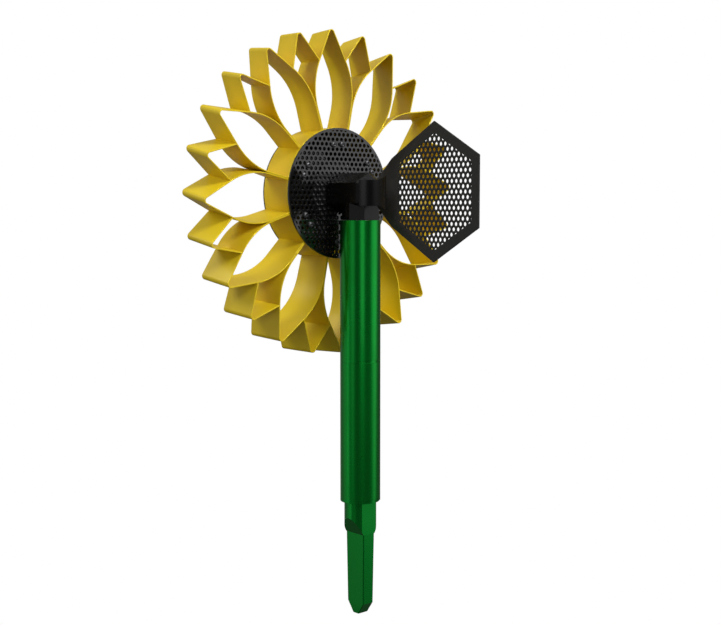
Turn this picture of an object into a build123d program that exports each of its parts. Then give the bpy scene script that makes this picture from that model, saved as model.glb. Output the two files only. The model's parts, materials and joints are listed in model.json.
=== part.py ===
from build123d import *
import os
from math import cos, radians, sin, sqrt, tan

# Garden wind turbine shaped like a sunflower. A flower of bent strips between two
# discs turns on a horizontal shaft, a perforated hexagonal vane keeps it
# facing the wind, and the head turns on a two-piece post with a ground stake.
#
# Frame: +Z is up, the origin is on the post's axis at the ground line, the tail
# points to +Y and the flower faces -Y. Millimetres throughout.

# ---------------------------------------------------------------- driving dimensions

# Post: two equal tubes, each with a bayonet notch in its bottom rim
POST_DIAMETER = 50.0
POST_WALL = 2.5
SECTION_LENGTH = 175.0
NOTCH_HEIGHT = 3.75
NOTCH_ANGLE = 95.0
KEY_RECESS = 1.0           # how far a key stays inside the post's outer surface
KEY_ROOT = 1.0             # how far a key reaches into its plug
KEY_PLAY = 1.0             # degrees between a notch's ends and its key, both together
PLUG_LENGTH = 30.0         # how far a plug reaches into a tube
PLUG_WALL = 4.0
PLUG_CHAMFER = 1.5
SLIP_FIT = 0.1             # radial clearance of parts that are pushed together by hand

# Stake
SPIGOT_STEP = 5.0          # from the post's outer surface in to the spigot
SPIGOT_LENGTH = 20.4       # of full round
RAMP_LENGTH = 20.6         # from full round down to the blade's thickness
BLADE_WIDTH = 32.4         # also across the spigot's two flats
BLADE_THICKNESS = 18.8
BLADE_LENGTH = 89.0
BLADE_TAPER = 0.9
BLADE_EDGE_RADIUS = 1.4
TIP_LENGTH = 13.8
TIP_WIDTH = 10.5
TIP_THICKNESS = 15.8

# Head: a T of two hexagonal prisms
HEX_SIDE = 25.0
COLLAR_SIDE = 24.0
COLLAR_HEIGHT = 32.8       # from the collar's bottom face up to the shaft's axis
YAW_GAP = 0.4              # between the post's top rim and the collar
HEAD_FRONT = 38.0          # shaft-wise reach in front of the post's axis
HEAD_REAR = 18.6
HEAD_CHAMFER = 2.6
HEAD_WALL = 4.65           # between the bore and the flats
HEAD_FRONT_WALL = 8.0

# Shaft line
SHAFT_DIAMETER = 8.0
SHAFT_BEARING_DIAMETER = 22.0
SHAFT_BEARING_WIDTH = 7.0
BEARING_RACE = 1.9         # thickness of each race
BALL_CLEARANCE = 0.06
SHAFT_BALL_COUNT = 7
PASSAGE_GAP = 0.1          # round the spacer where it passes a wall
SHAFT_END = 1.5            # beyond the nut
SHAFT_CHAMFER = 0.8
CARRIER_WEB = 2.0
TAIL_SPIGOT_LENGTH = 8.0
STATOR_LENGTH = 20.0
STATOR_DEPTH = 5.5         # from the head's bore in to the stator's
STATOR_SLOTS = 9
STATOR_YOKE = 2.5
TOOTH_WIDTH = 4.0
COIL_DEPTH = 2.0
COIL_WALL = 1.2
COIL_OVERHANG = 3.0
COIL_CLEARANCE = 1.0       # between the coils and the front bearing
AIR_GAP = 0.5
MAGNET_THICKNESS = 3.0
MAGNET_COUNT = 8
MAGNET_ANGLE = 36.0
DISC_SEAT_GAP = 1.0        # between the head's front end and the rear disc

# Yaw line, inside the top of the post
YAW_SHAFT_DIAMETER = 12.0
YAW_SHAFT_BORE = 6.0
YAW_FLANGE_DIAMETER = 22.0
YAW_BEARING_DIAMETER = 28.0
YAW_BEARING_WIDTH = 8.0
YAW_BEARING_SPACING = 26.0
YAW_BEARING_DEPTH = 4.0    # from the post's top rim down to the upper bearing
YAW_HOUSING_RIM = 1.0      # how far the bearing housing stays below the rim
YAW_HOUSING_SHOULDER = 22.0
YAW_BALL_COUNT = 9
YAW_SHAFT_TAIL = 3.6       # below the lower bearing
RING_THICKNESS = 1.2       # of both retaining rings
RING_GROOVE = 0.6
HOUSING_RING_ANGLE = 330.0
SHAFT_RING_ANGLE = 320.0
SLIP_RING_DIAMETER = 20.0
SLIP_RING_LENGTH = 22.0
SLIP_RING_DROP = 4.0       # below the yaw shaft
SLIP_RING_SHOWING = 2.0    # below the bearing housing
SLIP_RING_GAP = 0.5
SLIP_SPINDLE_TAIL = 14.0   # length of spindle held in the yaw shaft's bore

# Discs and hub
DISC_DIAMETER = 162.5
DISC_THICKNESS = 2.5
DISC_SPACING = 45.6        # clear distance between the discs, the strips' width
HUB_FLANGE_DIAMETER = 82.0
HUB_FLANGE_THICKNESS = 4.0
HUB_BARREL_DIAMETER = 26.0
LOCATING_HOLE_DIAMETER = 4.0
LOCATING_HOLE_PITCHES = 5  # of the perforation, out from the shaft to a locating hole
LOCATING_HOLE_COUNT = 3
NUT_WIDTH = 13.0           # across the flats
NUT_HEIGHT = 6.5
WASHER_DIAMETER = 22.0
WASHER_THICKNESS = 1.6

# Perforation of the rear disc and the vane, rows level, alternate rows half a pitch along
HOLE_PITCH = 7.0
HOLE_DIAMETER = 4.8
DISC_CENTRE_BORDER = 1.5   # plain ring round the washer
DISC_RIM = 2.75            # plain border of the discs
SCREW_SEAT_BORDER = 0.4    # plain ring round a screw's head
VANE_BORDER = 11.3         # plain border of the vane

# Disc screws, in pairs on spacer blocks
PAIR_COUNT = 6
PAIR_INSET = 20.65         # from the disc's rim in to the middle of a pair
PAIR_SPACING = 14.0
BLOCK_LENGTH = 24.0
BLOCK_DEPTH = 9.0
BLOCK_CORNER = 2.0
SCREW_DIAMETER = 4.0
SCREW_HEAD_DIAMETER = 7.7
SCREW_HEAD_HEIGHT = 2.4
SCREW_HEAD_LIP = 0.3
SCREW_LENGTH = 12.0
SCREW_SOCKET = 2.5
SCREW_SOCKET_DEPTH = 1.3

# Petals: strips bent on edge, each wound a little from front to rear
PETAL_COUNT = 12
PETAL_TIP_RADIUS = 202.4
PETAL_TIP_HALF_ANGLE = 26.4
PETAL_TIP_ROUND = 4.8
PETAL_SHOULDER_RADIUS = 82.7
PETAL_SETBACK = 1.25       # from the discs' rims in to the petals' bases
PETAL_THICKNESS = 1.5
PETAL_GAP = 0.3            # between neighbouring petals
PETAL_TWIST = 2.85         # degrees, rear edge against front edge
LEAF_SETBACK = 0.1         # from the petals' tips in to the leaves'
LEAF_TIP_ROUND = 4.6
LEAF_HALF_ANGLE = 27.2

# Tail
BOOM_HALF_HEIGHT = 15.5
BOOM_ROOT_HALF_THICKNESS = 19.0
BOOM_LIP = 0.4             # boom beyond the vane's faces where it ends
BOOM_REACH = 47.0
VANE_SIDE = 81.0
VANE_CENTRE = 126.6
VANE_THICKNESS = 2.0
VANE_ROOT_RADIUS = 25.0
VANE_TONGUE = 30.0         # where the vane's tongue starts inside the boom
TAIL_PIN_DIAMETER = 3.0
TAIL_PIN_DEPTH = 6.0       # into the boom's spigot
TAIL_PIN_SUNK = 1.5        # below the head's top edge

# ---------------------------------------------------------------- worked-out places

post_bore = POST_DIAMETER - 2 * POST_WALL
joint_height = SECTION_LENGTH
post_top = 2 * SECTION_LENGTH
plug_diameter = post_bore - 2 * SLIP_FIT
collar_bottom = post_top + YAW_GAP
axis_height = collar_bottom + COLLAR_HEIGHT
hex_flat = HEX_SIDE * sqrt(3) / 2
head_bore = 2 * (hex_flat - HEAD_WALL)
stator_bore = head_bore - 2 * STATOR_DEPTH
shaft_axis = Axis((0, 0, axis_height), (0, 1, 0))
spigot_diameter = POST_DIAMETER - 2 * SPIGOT_STEP

rear_disc_rear = -HEAD_FRONT - DISC_SEAT_GAP
rear_disc_front = rear_disc_rear - DISC_THICKNESS
front_disc_rear = rear_disc_front - DISC_SPACING
front_disc_front = front_disc_rear - DISC_THICKNESS

front_bearing_rear = -HEAD_FRONT + HEAD_FRONT_WALL
front_bearing_front = front_bearing_rear - SHAFT_BEARING_WIDTH
tail_spigot_front = HEAD_REAR - TAIL_SPIGOT_LENGTH
carrier_front = tail_spigot_front - CARRIER_WEB - SHAFT_BEARING_WIDTH
shaft_rear = tail_spigot_front - CARRIER_WEB
washer_front = front_disc_front - WASHER_THICKNESS
nut_front = washer_front - NUT_HEIGHT
shaft_start = nut_front - SHAFT_END
stator_front = front_bearing_rear + COIL_OVERHANG + COIL_CLEARANCE
magnet_radius = stator_bore / 2 - AIR_GAP

yaw_upper_top = post_top - YAW_BEARING_DEPTH
yaw_upper_bottom = yaw_upper_top - YAW_BEARING_WIDTH
yaw_lower_bottom = yaw_upper_top - YAW_BEARING_SPACING - YAW_BEARING_WIDTH
yaw_lower_top = yaw_lower_bottom + YAW_BEARING_WIDTH
yaw_shaft_bottom = yaw_lower_bottom - YAW_SHAFT_TAIL
yaw_shaft_top = axis_height - head_bore / 2
slip_ring_top = yaw_shaft_bottom - SLIP_RING_DROP
slip_ring_bottom = slip_ring_top - SLIP_RING_LENGTH
housing_bottom = slip_ring_bottom + SLIP_RING_SHOWING

disc_radius = DISC_DIAMETER / 2
hub_radius = HUB_FLANGE_DIAMETER / 2
pair_radius = disc_radius - PAIR_INSET
petal_base_radius = disc_radius - PETAL_SETBACK
leaf_tip_radius = PETAL_TIP_RADIUS - LEAF_SETBACK
locating_radius = LOCATING_HOLE_PITCHES * HOLE_PITCH
locating_angle = 180 / LOCATING_HOLE_COUNT

vane_left = VANE_CENTRE - VANE_SIDE * sqrt(3) / 2


# ---------------------------------------------------------------- shared shapes


def shaft_plane(y):
    """Plane square to the shaft, seen from behind: local x is -X and local y is +Z."""
    return Plane(origin=(0, y, axis_height), x_dir=(-1, 0, 0), z_dir=(0, 1, 0))


def side_plane():
    """The machine's plane of symmetry: local x is +Y and local y is +Z."""
    return Plane(origin=(0, 0, axis_height), x_dir=(0, 1, 0), z_dir=(1, 0, 0))


def ring_along_shaft(outer, inner, start, length):
    """A plain ring about the shaft's axis."""
    with BuildPart() as ring:
        with BuildSketch(shaft_plane(start)):
            Circle(outer / 2)
            Circle(inner / 2, mode=Mode.SUBTRACT)
        extrude(amount=length)
    return ring.part


def ring_along_post(outer, inner, start, length):
    """A plain ring about the post's axis."""
    with BuildPart() as ring:
        with BuildSketch(Plane.XY.offset(start)):
            Circle(outer / 2)
            Circle(inner / 2, mode=Mode.SUBTRACT)
        extrude(amount=length)
    return ring.part


def sector(outer, inner, middle, width):
    """A piece of an annulus, given by its diameters, middle direction and width in degrees."""
    start = middle - width / 2
    with BuildSketch() as piece:
        with BuildLine():
            rim = CenterArc((0, 0), outer / 2, start, width)
            heel = CenterArc((0, 0), inner / 2, start, width)
            Line(rim @ 0, heel @ 0)
            Line(rim @ 1, heel @ 1)
        make_face()
    return piece.sketch


def hole_lattice(reach):
    """Centres of a triangular lattice with level rows, out to a square of the given reach."""
    row_pitch = HOLE_PITCH * sqrt(3) / 2
    rows = int(reach / row_pitch)
    columns = int(reach / HOLE_PITCH) + 1
    return [
        ((column + row % 2 / 2) * HOLE_PITCH, row * row_pitch)
        for row in range(-rows, rows + 1)
        for column in range(-columns, columns + 1)
    ]


def pair_centres():
    """Centres of the disc screws, seen from behind: pairs side by side, square to their radius."""
    centres = []
    for index in range(PAIR_COUNT):
        angle = radians((index + 0.5) * 360 / PAIR_COUNT + PETAL_TWIST)
        for side in (-0.5, 0.5):
            across = side * PAIR_SPACING
            x = pair_radius * cos(angle) - across * sin(angle)
            z = pair_radius * sin(angle) + across * cos(angle)
            centres.append((x, z))
    return centres


def pair_places(y, facing):
    """Where the disc screws sit on a face, with their heads facing one way along the shaft."""
    return [
        Plane(origin=(-x, y, axis_height + z), x_dir=(1, 0, 0), z_dir=(0, facing, 0)).location
        for x, z in pair_centres()
    ]


def balls(pitch_radius, diameter, count, planes):
    """Rows of bearing balls, one row centred on each plane."""
    with BuildPart() as rows:
        with Locations(*planes):
            with PolarLocations(pitch_radius, count):
                Sphere(diameter / 2)
    return rows.part


def bearing_numbers(bore, diameter):
    """Inner race's outer diameter, outer race's bore, ball diameter and pitch radius."""
    inner_track = bore + 2 * BEARING_RACE
    outer_track = diameter - 2 * BEARING_RACE
    ball = (outer_track - inner_track) / 2 - 2 * BALL_CLEARANCE
    return inner_track, outer_track, ball, (outer_track + inner_track) / 4


# ---------------------------------------------------------------- post and stake


def post_section(floor):
    """One length of post tube with the bayonet notch in its bottom rim, toward the tail."""
    with BuildPart() as section:
        with BuildSketch(Plane.XY.offset(floor)):
            Circle(POST_DIAMETER / 2)
            Circle(post_bore / 2, mode=Mode.SUBTRACT)
        extrude(amount=SECTION_LENGTH)
        with BuildSketch(Plane.XY.offset(floor)):
            add(sector(POST_DIAMETER + POST_WALL, post_bore - POST_WALL, 90, NOTCH_ANGLE))
        extrude(amount=NOTCH_HEIGHT, mode=Mode.SUBTRACT)
    return section.part


def bayonet_key(floor):
    """The key that fills a notch, set back a little from the post's surface."""
    with BuildPart() as key:
        with BuildSketch(Plane.XY.offset(floor)):
            outer = POST_DIAMETER - 2 * KEY_RECESS
            add(sector(outer, plug_diameter - 2 * KEY_ROOT, 90, NOTCH_ANGLE - KEY_PLAY))
        extrude(amount=NOTCH_HEIGHT)
    return key.part


blade_top = -SPIGOT_LENGTH - RAMP_LENGTH
blade_bottom = blade_top - BLADE_LENGTH
tip_bottom = blade_bottom - TIP_LENGTH

def blade_section(level, width, thickness):
    """The blade's rounded section at a level."""
    with BuildSketch(Plane.XY.offset(level)) as section:
        RectangleRounded(thickness, width, BLADE_EDGE_RADIUS)
    return section.sketch


blade_start = blade_section(blade_top + RAMP_LENGTH / 2, BLADE_WIDTH, BLADE_THICKNESS)
blade_end = blade_section(blade_bottom, BLADE_WIDTH * BLADE_TAPER, BLADE_THICKNESS * BLADE_TAPER)
with BuildPart() as stake_blade:
    loft([blade_start.face(), blade_end.face()], ruled=True)
    loft([blade_end.face(), blade_section(tip_bottom, TIP_WIDTH, TIP_THICKNESS).face()], ruled=True)

with BuildPart() as stake_spigot:
    with BuildSketch(Plane.XY):
        Circle(spigot_diameter / 2)
        Rectangle(spigot_diameter, BLADE_WIDTH, mode=Mode.INTERSECT)
    extrude(amount=blade_top)
    with BuildSketch(Plane.XZ):
        Polygon(
            (-spigot_diameter / 2, 0),
            (-spigot_diameter / 2, -SPIGOT_LENGTH),
            (-BLADE_THICKNESS / 2, blade_top),
            (BLADE_THICKNESS / 2, blade_top),
            (spigot_diameter / 2, -SPIGOT_LENGTH),
            (spigot_diameter / 2, 0),
            align=None,
        )
    extrude(amount=spigot_diameter, both=True, mode=Mode.INTERSECT)

with BuildPart() as ground_stake:
    with BuildSketch(Plane.XY):
        Circle(plug_diameter / 2)
    extrude(amount=PLUG_LENGTH)
    chamfer(ground_stake.faces().sort_by(Axis.Z)[-1].edges(), PLUG_CHAMFER)
    add(bayonet_key(0))
    add(stake_spigot.part)
    add(stake_blade.part)
ground_stake.part.label = "ground_stake"

lower_post_tube = post_section(0)
lower_post_tube.label = "lower_post_tube"

upper_post_tube = post_section(joint_height)
upper_post_tube.label = "upper_post_tube"

with BuildPart() as post_joiner:
    with BuildSketch(Plane.XY.offset(joint_height - PLUG_LENGTH)):
        Circle(plug_diameter / 2)
    extrude(amount=2 * PLUG_LENGTH)
    joiner_ends = post_joiner.faces().filter_by(Axis.Z).edges()
    chamfer(joiner_ends, PLUG_CHAMFER)
    add(bayonet_key(joint_height))
    with BuildSketch(Plane.XY.offset(joint_height - PLUG_LENGTH)):
        Circle(plug_diameter / 2 - PLUG_WALL)
    extrude(amount=2 * PLUG_LENGTH, mode=Mode.SUBTRACT)
post_joiner.part.label = "post_joiner"

# ---------------------------------------------------------------- yaw line

yaw_inner_track, yaw_outer_track, yaw_ball, yaw_pitch = bearing_numbers(
    YAW_SHAFT_DIAMETER, YAW_BEARING_DIAMETER
)

with BuildPart() as yaw_bearing_housing:
    with BuildSketch(Plane.XY.offset(housing_bottom)):
        Circle(post_bore / 2)
    extrude(amount=post_top - YAW_HOUSING_RIM - housing_bottom)
    with BuildSketch(Plane.XY.offset(yaw_upper_bottom)):
        Circle(YAW_BEARING_DIAMETER / 2)
    extrude(amount=post_top - yaw_upper_bottom, mode=Mode.SUBTRACT)
    with BuildSketch(Plane.XY.offset(yaw_lower_top)):
        Circle(YAW_HOUSING_SHOULDER / 2)
    extrude(amount=yaw_upper_bottom - yaw_lower_top, mode=Mode.SUBTRACT)
    with BuildSketch(Plane.XY.offset(slip_ring_top)):
        Circle(YAW_BEARING_DIAMETER / 2)
    extrude(amount=yaw_lower_top - slip_ring_top, mode=Mode.SUBTRACT)
    with BuildSketch(Plane.XY.offset(housing_bottom)):
        Circle(SLIP_RING_DIAMETER / 2)
    extrude(amount=slip_ring_top - housing_bottom, mode=Mode.SUBTRACT)
    with BuildSketch(Plane.XY.offset(yaw_upper_top)):
        Circle(YAW_BEARING_DIAMETER / 2 + RING_GROOVE)
    extrude(amount=RING_THICKNESS, mode=Mode.SUBTRACT)
yaw_bearing_housing.part.label = "yaw_bearing_housing"

with BuildPart() as yaw_outer_races:
    for race_bottom in (yaw_lower_bottom, yaw_upper_bottom):
        add(ring_along_post(YAW_BEARING_DIAMETER, yaw_outer_track, race_bottom, YAW_BEARING_WIDTH))
yaw_outer_races.part.label = "yaw_bearing_outer_races"

with BuildPart() as yaw_inner_races:
    for race_bottom in (yaw_lower_bottom, yaw_upper_bottom):
        add(ring_along_post(yaw_inner_track, YAW_SHAFT_DIAMETER, race_bottom, YAW_BEARING_WIDTH))
yaw_inner_races.part.label = "yaw_bearing_inner_races"

yaw_ball_planes = [
    Plane.XY.offset(race_bottom + YAW_BEARING_WIDTH / 2)
    for race_bottom in (yaw_lower_bottom, yaw_upper_bottom)
]
yaw_balls = balls(yaw_pitch, yaw_ball, YAW_BALL_COUNT, yaw_ball_planes)
yaw_balls.label = "yaw_bearing_balls"

with BuildPart() as yaw_housing_ring:
    with BuildSketch(Plane.XY.offset(yaw_upper_top)):
        ring_outer = YAW_BEARING_DIAMETER + 2 * RING_GROOVE
        add(sector(ring_outer, yaw_outer_track, 90, HOUSING_RING_ANGLE))
    extrude(amount=RING_THICKNESS)
yaw_housing_ring.part.label = "yaw_housing_ring"

with BuildPart() as yaw_shaft:
    with BuildSketch(Plane.XY.offset(yaw_shaft_bottom)):
        Circle(YAW_SHAFT_DIAMETER / 2)
    extrude(amount=yaw_shaft_top - yaw_shaft_bottom)
    with BuildSketch(Plane.XY.offset(yaw_upper_top)):
        Circle(yaw_inner_track / 2)
    extrude(amount=collar_bottom - yaw_upper_top)
    with BuildSketch(Plane.XY.offset(yaw_upper_top + 2 * RING_THICKNESS)):
        Circle(YAW_FLANGE_DIAMETER / 2)
    extrude(amount=collar_bottom - yaw_upper_top - 2 * RING_THICKNESS)
    with BuildSketch(Plane.XY.offset(yaw_lower_bottom)):
        Circle(YAW_SHAFT_DIAMETER / 2)
        Circle(YAW_SHAFT_DIAMETER / 2 - RING_GROOVE, mode=Mode.SUBTRACT)
    extrude(amount=-RING_THICKNESS, mode=Mode.SUBTRACT)
    with BuildSketch(Plane.XY.offset(yaw_shaft_bottom)):
        Circle(YAW_SHAFT_BORE / 2)
    extrude(amount=yaw_shaft_top - yaw_shaft_bottom, mode=Mode.SUBTRACT)
yaw_shaft.part.label = "yaw_shaft"

with BuildPart() as yaw_shaft_ring:
    with BuildSketch(Plane.XY.offset(yaw_lower_bottom)):
        ring_inner = YAW_SHAFT_DIAMETER - 2 * RING_GROOVE
        add(sector(yaw_inner_track, ring_inner, 90, SHAFT_RING_ANGLE))
    extrude(amount=-RING_THICKNESS)
yaw_shaft_ring.part.label = "yaw_shaft_ring"

with BuildPart() as slip_ring_spindle:
    with BuildSketch(Plane.XY.offset(slip_ring_bottom + SLIP_RING_GAP)):
        Circle(YAW_SHAFT_BORE / 2)
    extrude(amount=yaw_shaft_bottom + SLIP_SPINDLE_TAIL - slip_ring_bottom - SLIP_RING_GAP)
slip_ring_spindle.part.label = "slip_ring_spindle"

with BuildPart() as slip_ring_body:
    with BuildSketch(Plane.XY.offset(slip_ring_bottom)):
        Circle(SLIP_RING_DIAMETER / 2)
        Circle(YAW_SHAFT_BORE / 2 + SLIP_RING_GAP, mode=Mode.SUBTRACT)
    extrude(amount=SLIP_RING_LENGTH)
slip_ring_body.part.label = "slip_ring_body"

# ---------------------------------------------------------------- head

inner_track, outer_track, shaft_ball, shaft_pitch = bearing_numbers(
    SHAFT_DIAMETER, SHAFT_BEARING_DIAMETER
)
shaft_passage = inner_track + 2 * PASSAGE_GAP

with BuildPart() as head_collar:
    with BuildSketch(Plane.XY.offset(collar_bottom)):
        RegularPolygon(COLLAR_SIDE, 6)
        Rectangle(2 * hex_flat, 4 * COLLAR_SIDE, mode=Mode.INTERSECT)
    extrude(amount=COLLAR_HEIGHT)
    boom_room_bottom = axis_height - BOOM_HALF_HEIGHT
    with BuildSketch(Plane.XY.offset(boom_room_bottom)):
        with Locations((0, HEAD_REAR - HEAD_CHAMFER + COLLAR_SIDE / 2)):
            Rectangle(4 * COLLAR_SIDE, COLLAR_SIDE)
    extrude(amount=BOOM_HALF_HEIGHT, mode=Mode.SUBTRACT)

with BuildPart() as head_housing:
    with BuildSketch(shaft_plane(-HEAD_FRONT)):
        RegularPolygon(HEX_SIDE, 6, rotation=30)
    extrude(amount=HEAD_FRONT + HEAD_REAR)
    chamfer(head_housing.faces().sort_by(Axis.Y)[-1].edges(), HEAD_CHAMFER)
    add(head_collar.part)
    with BuildSketch(shaft_plane(front_bearing_rear)):
        Circle(head_bore / 2)
    extrude(amount=HEAD_REAR - front_bearing_rear, mode=Mode.SUBTRACT)
    with BuildSketch(shaft_plane(front_bearing_front)):
        Circle(SHAFT_BEARING_DIAMETER / 2)
    extrude(amount=SHAFT_BEARING_WIDTH, mode=Mode.SUBTRACT)
    with BuildSketch(shaft_plane(-HEAD_FRONT)):
        Circle(shaft_passage / 2)
    extrude(amount=HEAD_FRONT_WALL, mode=Mode.SUBTRACT)
    with BuildSketch(Plane.XY.offset(collar_bottom)):
        Circle(YAW_SHAFT_DIAMETER / 2)
    extrude(amount=COLLAR_HEIGHT, mode=Mode.SUBTRACT)
    with BuildSketch(Plane.XY.offset(axis_height)):
        with Locations((0, HEAD_REAR - TAIL_SPIGOT_LENGTH / 2)):
            Circle(TAIL_PIN_DIAMETER / 2)
    extrude(amount=HEX_SIDE, mode=Mode.SUBTRACT)
head_housing.part.label = "head_housing"

with BuildPart() as shaft_outer_races:
    for race_front in (front_bearing_front, carrier_front):
        add(ring_along_shaft(SHAFT_BEARING_DIAMETER, outer_track, race_front, SHAFT_BEARING_WIDTH))
shaft_outer_races.part.label = "shaft_bearing_outer_races"

with BuildPart() as shaft_inner_races:
    for race_front in (front_bearing_front, carrier_front):
        add(ring_along_shaft(inner_track, SHAFT_DIAMETER, race_front, SHAFT_BEARING_WIDTH))
shaft_inner_races.part.label = "shaft_bearing_inner_races"

shaft_ball_planes = [
    shaft_plane(race_front + SHAFT_BEARING_WIDTH / 2)
    for race_front in (front_bearing_front, carrier_front)
]
shaft_balls = balls(shaft_pitch, shaft_ball, SHAFT_BALL_COUNT, shaft_ball_planes)
shaft_balls.label = "shaft_bearing_balls"

with BuildPart() as rear_bearing_carrier:
    with BuildSketch(shaft_plane(carrier_front)):
        Circle(head_bore / 2)
        Circle(SHAFT_BEARING_DIAMETER / 2, mode=Mode.SUBTRACT)
    extrude(amount=SHAFT_BEARING_WIDTH)
    with BuildSketch(shaft_plane(carrier_front + SHAFT_BEARING_WIDTH)):
        Circle(head_bore / 2)
        Circle(shaft_passage / 2, mode=Mode.SUBTRACT)
    extrude(amount=CARRIER_WEB)
rear_bearing_carrier.part.label = "rear_bearing_carrier"

yoke_bore = head_bore - 2 * STATOR_YOKE
tooth_radius = (yoke_bore + stator_bore) / 4
tooth_height = (yoke_bore - stator_bore) / 2 + STATOR_YOKE
with BuildPart() as generator_stator:
    with BuildSketch(shaft_plane(stator_front)):
        Circle(head_bore / 2)
        Circle(yoke_bore / 2, mode=Mode.SUBTRACT)
        with PolarLocations(tooth_radius, STATOR_SLOTS):
            Rectangle(tooth_height, TOOTH_WIDTH)
        Circle(stator_bore / 2, mode=Mode.SUBTRACT)
    extrude(amount=STATOR_LENGTH)
generator_stator.part.label = "generator_stator"

with BuildPart() as generator_coils:
    with BuildSketch(shaft_plane(stator_front - COIL_OVERHANG)):
        with PolarLocations(tooth_radius, STATOR_SLOTS):
            Rectangle(COIL_DEPTH, TOOTH_WIDTH + 2 * COIL_WALL)
    extrude(amount=STATOR_LENGTH + 2 * COIL_OVERHANG)
    with BuildSketch(shaft_plane(stator_front)):
        with PolarLocations(tooth_radius, STATOR_SLOTS):
            Rectangle(tooth_height, TOOTH_WIDTH)
    extrude(amount=STATOR_LENGTH, mode=Mode.SUBTRACT)
generator_coils.part.label = "generator_coils"

magnet_core = 2 * (magnet_radius - MAGNET_THICKNESS)
generator_core = ring_along_shaft(magnet_core, SHAFT_DIAMETER, stator_front, STATOR_LENGTH)
generator_core.label = "generator_core"

with BuildPart() as generator_magnets:
    with BuildSketch(shaft_plane(stator_front)):
        for index in range(MAGNET_COUNT):
            middle = index * 360 / MAGNET_COUNT
            add(sector(2 * magnet_radius, magnet_core, middle, MAGNET_ANGLE))
    extrude(amount=STATOR_LENGTH)
generator_magnets.part.label = "generator_magnets"

# ---------------------------------------------------------------- hub and discs

with BuildPart() as rotor_shaft:
    with BuildSketch(shaft_plane(shaft_start)):
        Circle(SHAFT_DIAMETER / 2)
    extrude(amount=shaft_rear - shaft_start)
    chamfer(rotor_shaft.faces().filter_by(Axis.Y).edges(), SHAFT_CHAMFER)
rotor_shaft.part.label = "rotor_shaft"

with BuildPart() as rotor_hub:
    with BuildSketch(shaft_plane(front_disc_rear)):
        Circle(hub_radius)
    extrude(amount=HUB_FLANGE_THICKNESS)
    with BuildSketch(shaft_plane(rear_disc_front)):
        Circle(hub_radius)
    extrude(amount=-HUB_FLANGE_THICKNESS)
    with BuildSketch(shaft_plane(front_disc_rear)):
        Circle(HUB_BARREL_DIAMETER / 2)
    extrude(amount=DISC_SPACING)
    with BuildSketch(shaft_plane(front_disc_rear)):
        Circle(SHAFT_DIAMETER / 2)
        with PolarLocations(locating_radius, LOCATING_HOLE_COUNT, locating_angle):
            Circle(LOCATING_HOLE_DIAMETER / 2)
    extrude(amount=DISC_SPACING, mode=Mode.SUBTRACT)
rotor_hub.part.label = "rotor_hub"

shaft_collar = ring_along_shaft(
    inner_track, SHAFT_DIAMETER, rear_disc_rear, front_bearing_front - rear_disc_rear
)
shaft_collar.label = "shaft_spacer"

hole_reach = disc_radius - DISC_RIM
with BuildSketch() as disc_pattern:
    with Locations(*hole_lattice(hole_reach + HOLE_PITCH)):
        Circle(HOLE_DIAMETER / 2)
    with BuildSketch(mode=Mode.INTERSECT):
        Circle(hole_reach)
        Circle(WASHER_DIAMETER / 2 + DISC_CENTRE_BORDER, mode=Mode.SUBTRACT)
    with BuildSketch(mode=Mode.SUBTRACT):
        with Locations(*pair_centres()):
            Circle(SCREW_HEAD_DIAMETER / 2 + SCREW_SEAT_BORDER)

with BuildPart() as rear_disc:
    with BuildSketch(shaft_plane(rear_disc_front)):
        Circle(disc_radius)
        Circle(SHAFT_DIAMETER / 2, mode=Mode.SUBTRACT)
        with Locations(*pair_centres()):
            Circle(SCREW_DIAMETER / 2, mode=Mode.SUBTRACT)
        add(disc_pattern.sketch, mode=Mode.SUBTRACT)
    extrude(amount=DISC_THICKNESS)
rear_disc.part.label = "rear_disc"

with BuildPart() as front_disc:
    with BuildSketch(shaft_plane(front_disc_front)):
        Circle(disc_radius)
        Circle(SHAFT_DIAMETER / 2, mode=Mode.SUBTRACT)
        with Locations(*pair_centres()):
            Circle(SCREW_DIAMETER / 2, mode=Mode.SUBTRACT)
    extrude(amount=DISC_THICKNESS)
front_disc.part.label = "front_disc"

with BuildPart() as spacer_blocks:
    with BuildSketch(shaft_plane(front_disc_rear)):
        with PolarLocations(pair_radius, PAIR_COUNT, 180 / PAIR_COUNT + PETAL_TWIST):
            RectangleRounded(BLOCK_DEPTH, BLOCK_LENGTH, BLOCK_CORNER)
    extrude(amount=DISC_SPACING)
    with BuildSketch(shaft_plane(front_disc_rear)):
        with Locations(*pair_centres()):
            Circle(SCREW_DIAMETER / 2)
    extrude(amount=DISC_SPACING, mode=Mode.SUBTRACT)
spacer_blocks.part.label = "spacer_blocks"

with BuildPart() as button_screw:
    with BuildSketch(Plane.XY):
        Circle(SCREW_DIAMETER / 2)
    extrude(amount=-SCREW_LENGTH)
    with BuildSketch(Plane.XZ):
        with BuildLine():
            rim = SCREW_HEAD_DIAMETER / 2
            flank = Line((rim, 0), (rim, SCREW_HEAD_LIP))
            top = Line((0, SCREW_HEAD_HEIGHT), (rim / 2, SCREW_HEAD_HEIGHT))
            RadiusArc(flank @ 1, top @ 1, -rim)
            Polyline(top @ 0, (0, 0), flank @ 0)
        make_face()
    revolve(axis=Axis.Z)
    with BuildSketch(Plane.XY.offset(SCREW_HEAD_HEIGHT)):
        RegularPolygon(SCREW_SOCKET / 2, 6, major_radius=False)
    extrude(amount=-SCREW_SOCKET_DEPTH, mode=Mode.SUBTRACT)

with BuildPart() as rear_disc_screws:
    with Locations(*pair_places(rear_disc_rear, 1)):
        add(button_screw.part)
rear_disc_screws.part.label = "rear_disc_screws"

with BuildPart() as front_disc_screws:
    with Locations(*pair_places(front_disc_front, -1)):
        add(button_screw.part)
front_disc_screws.part.label = "front_disc_screws"

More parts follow.
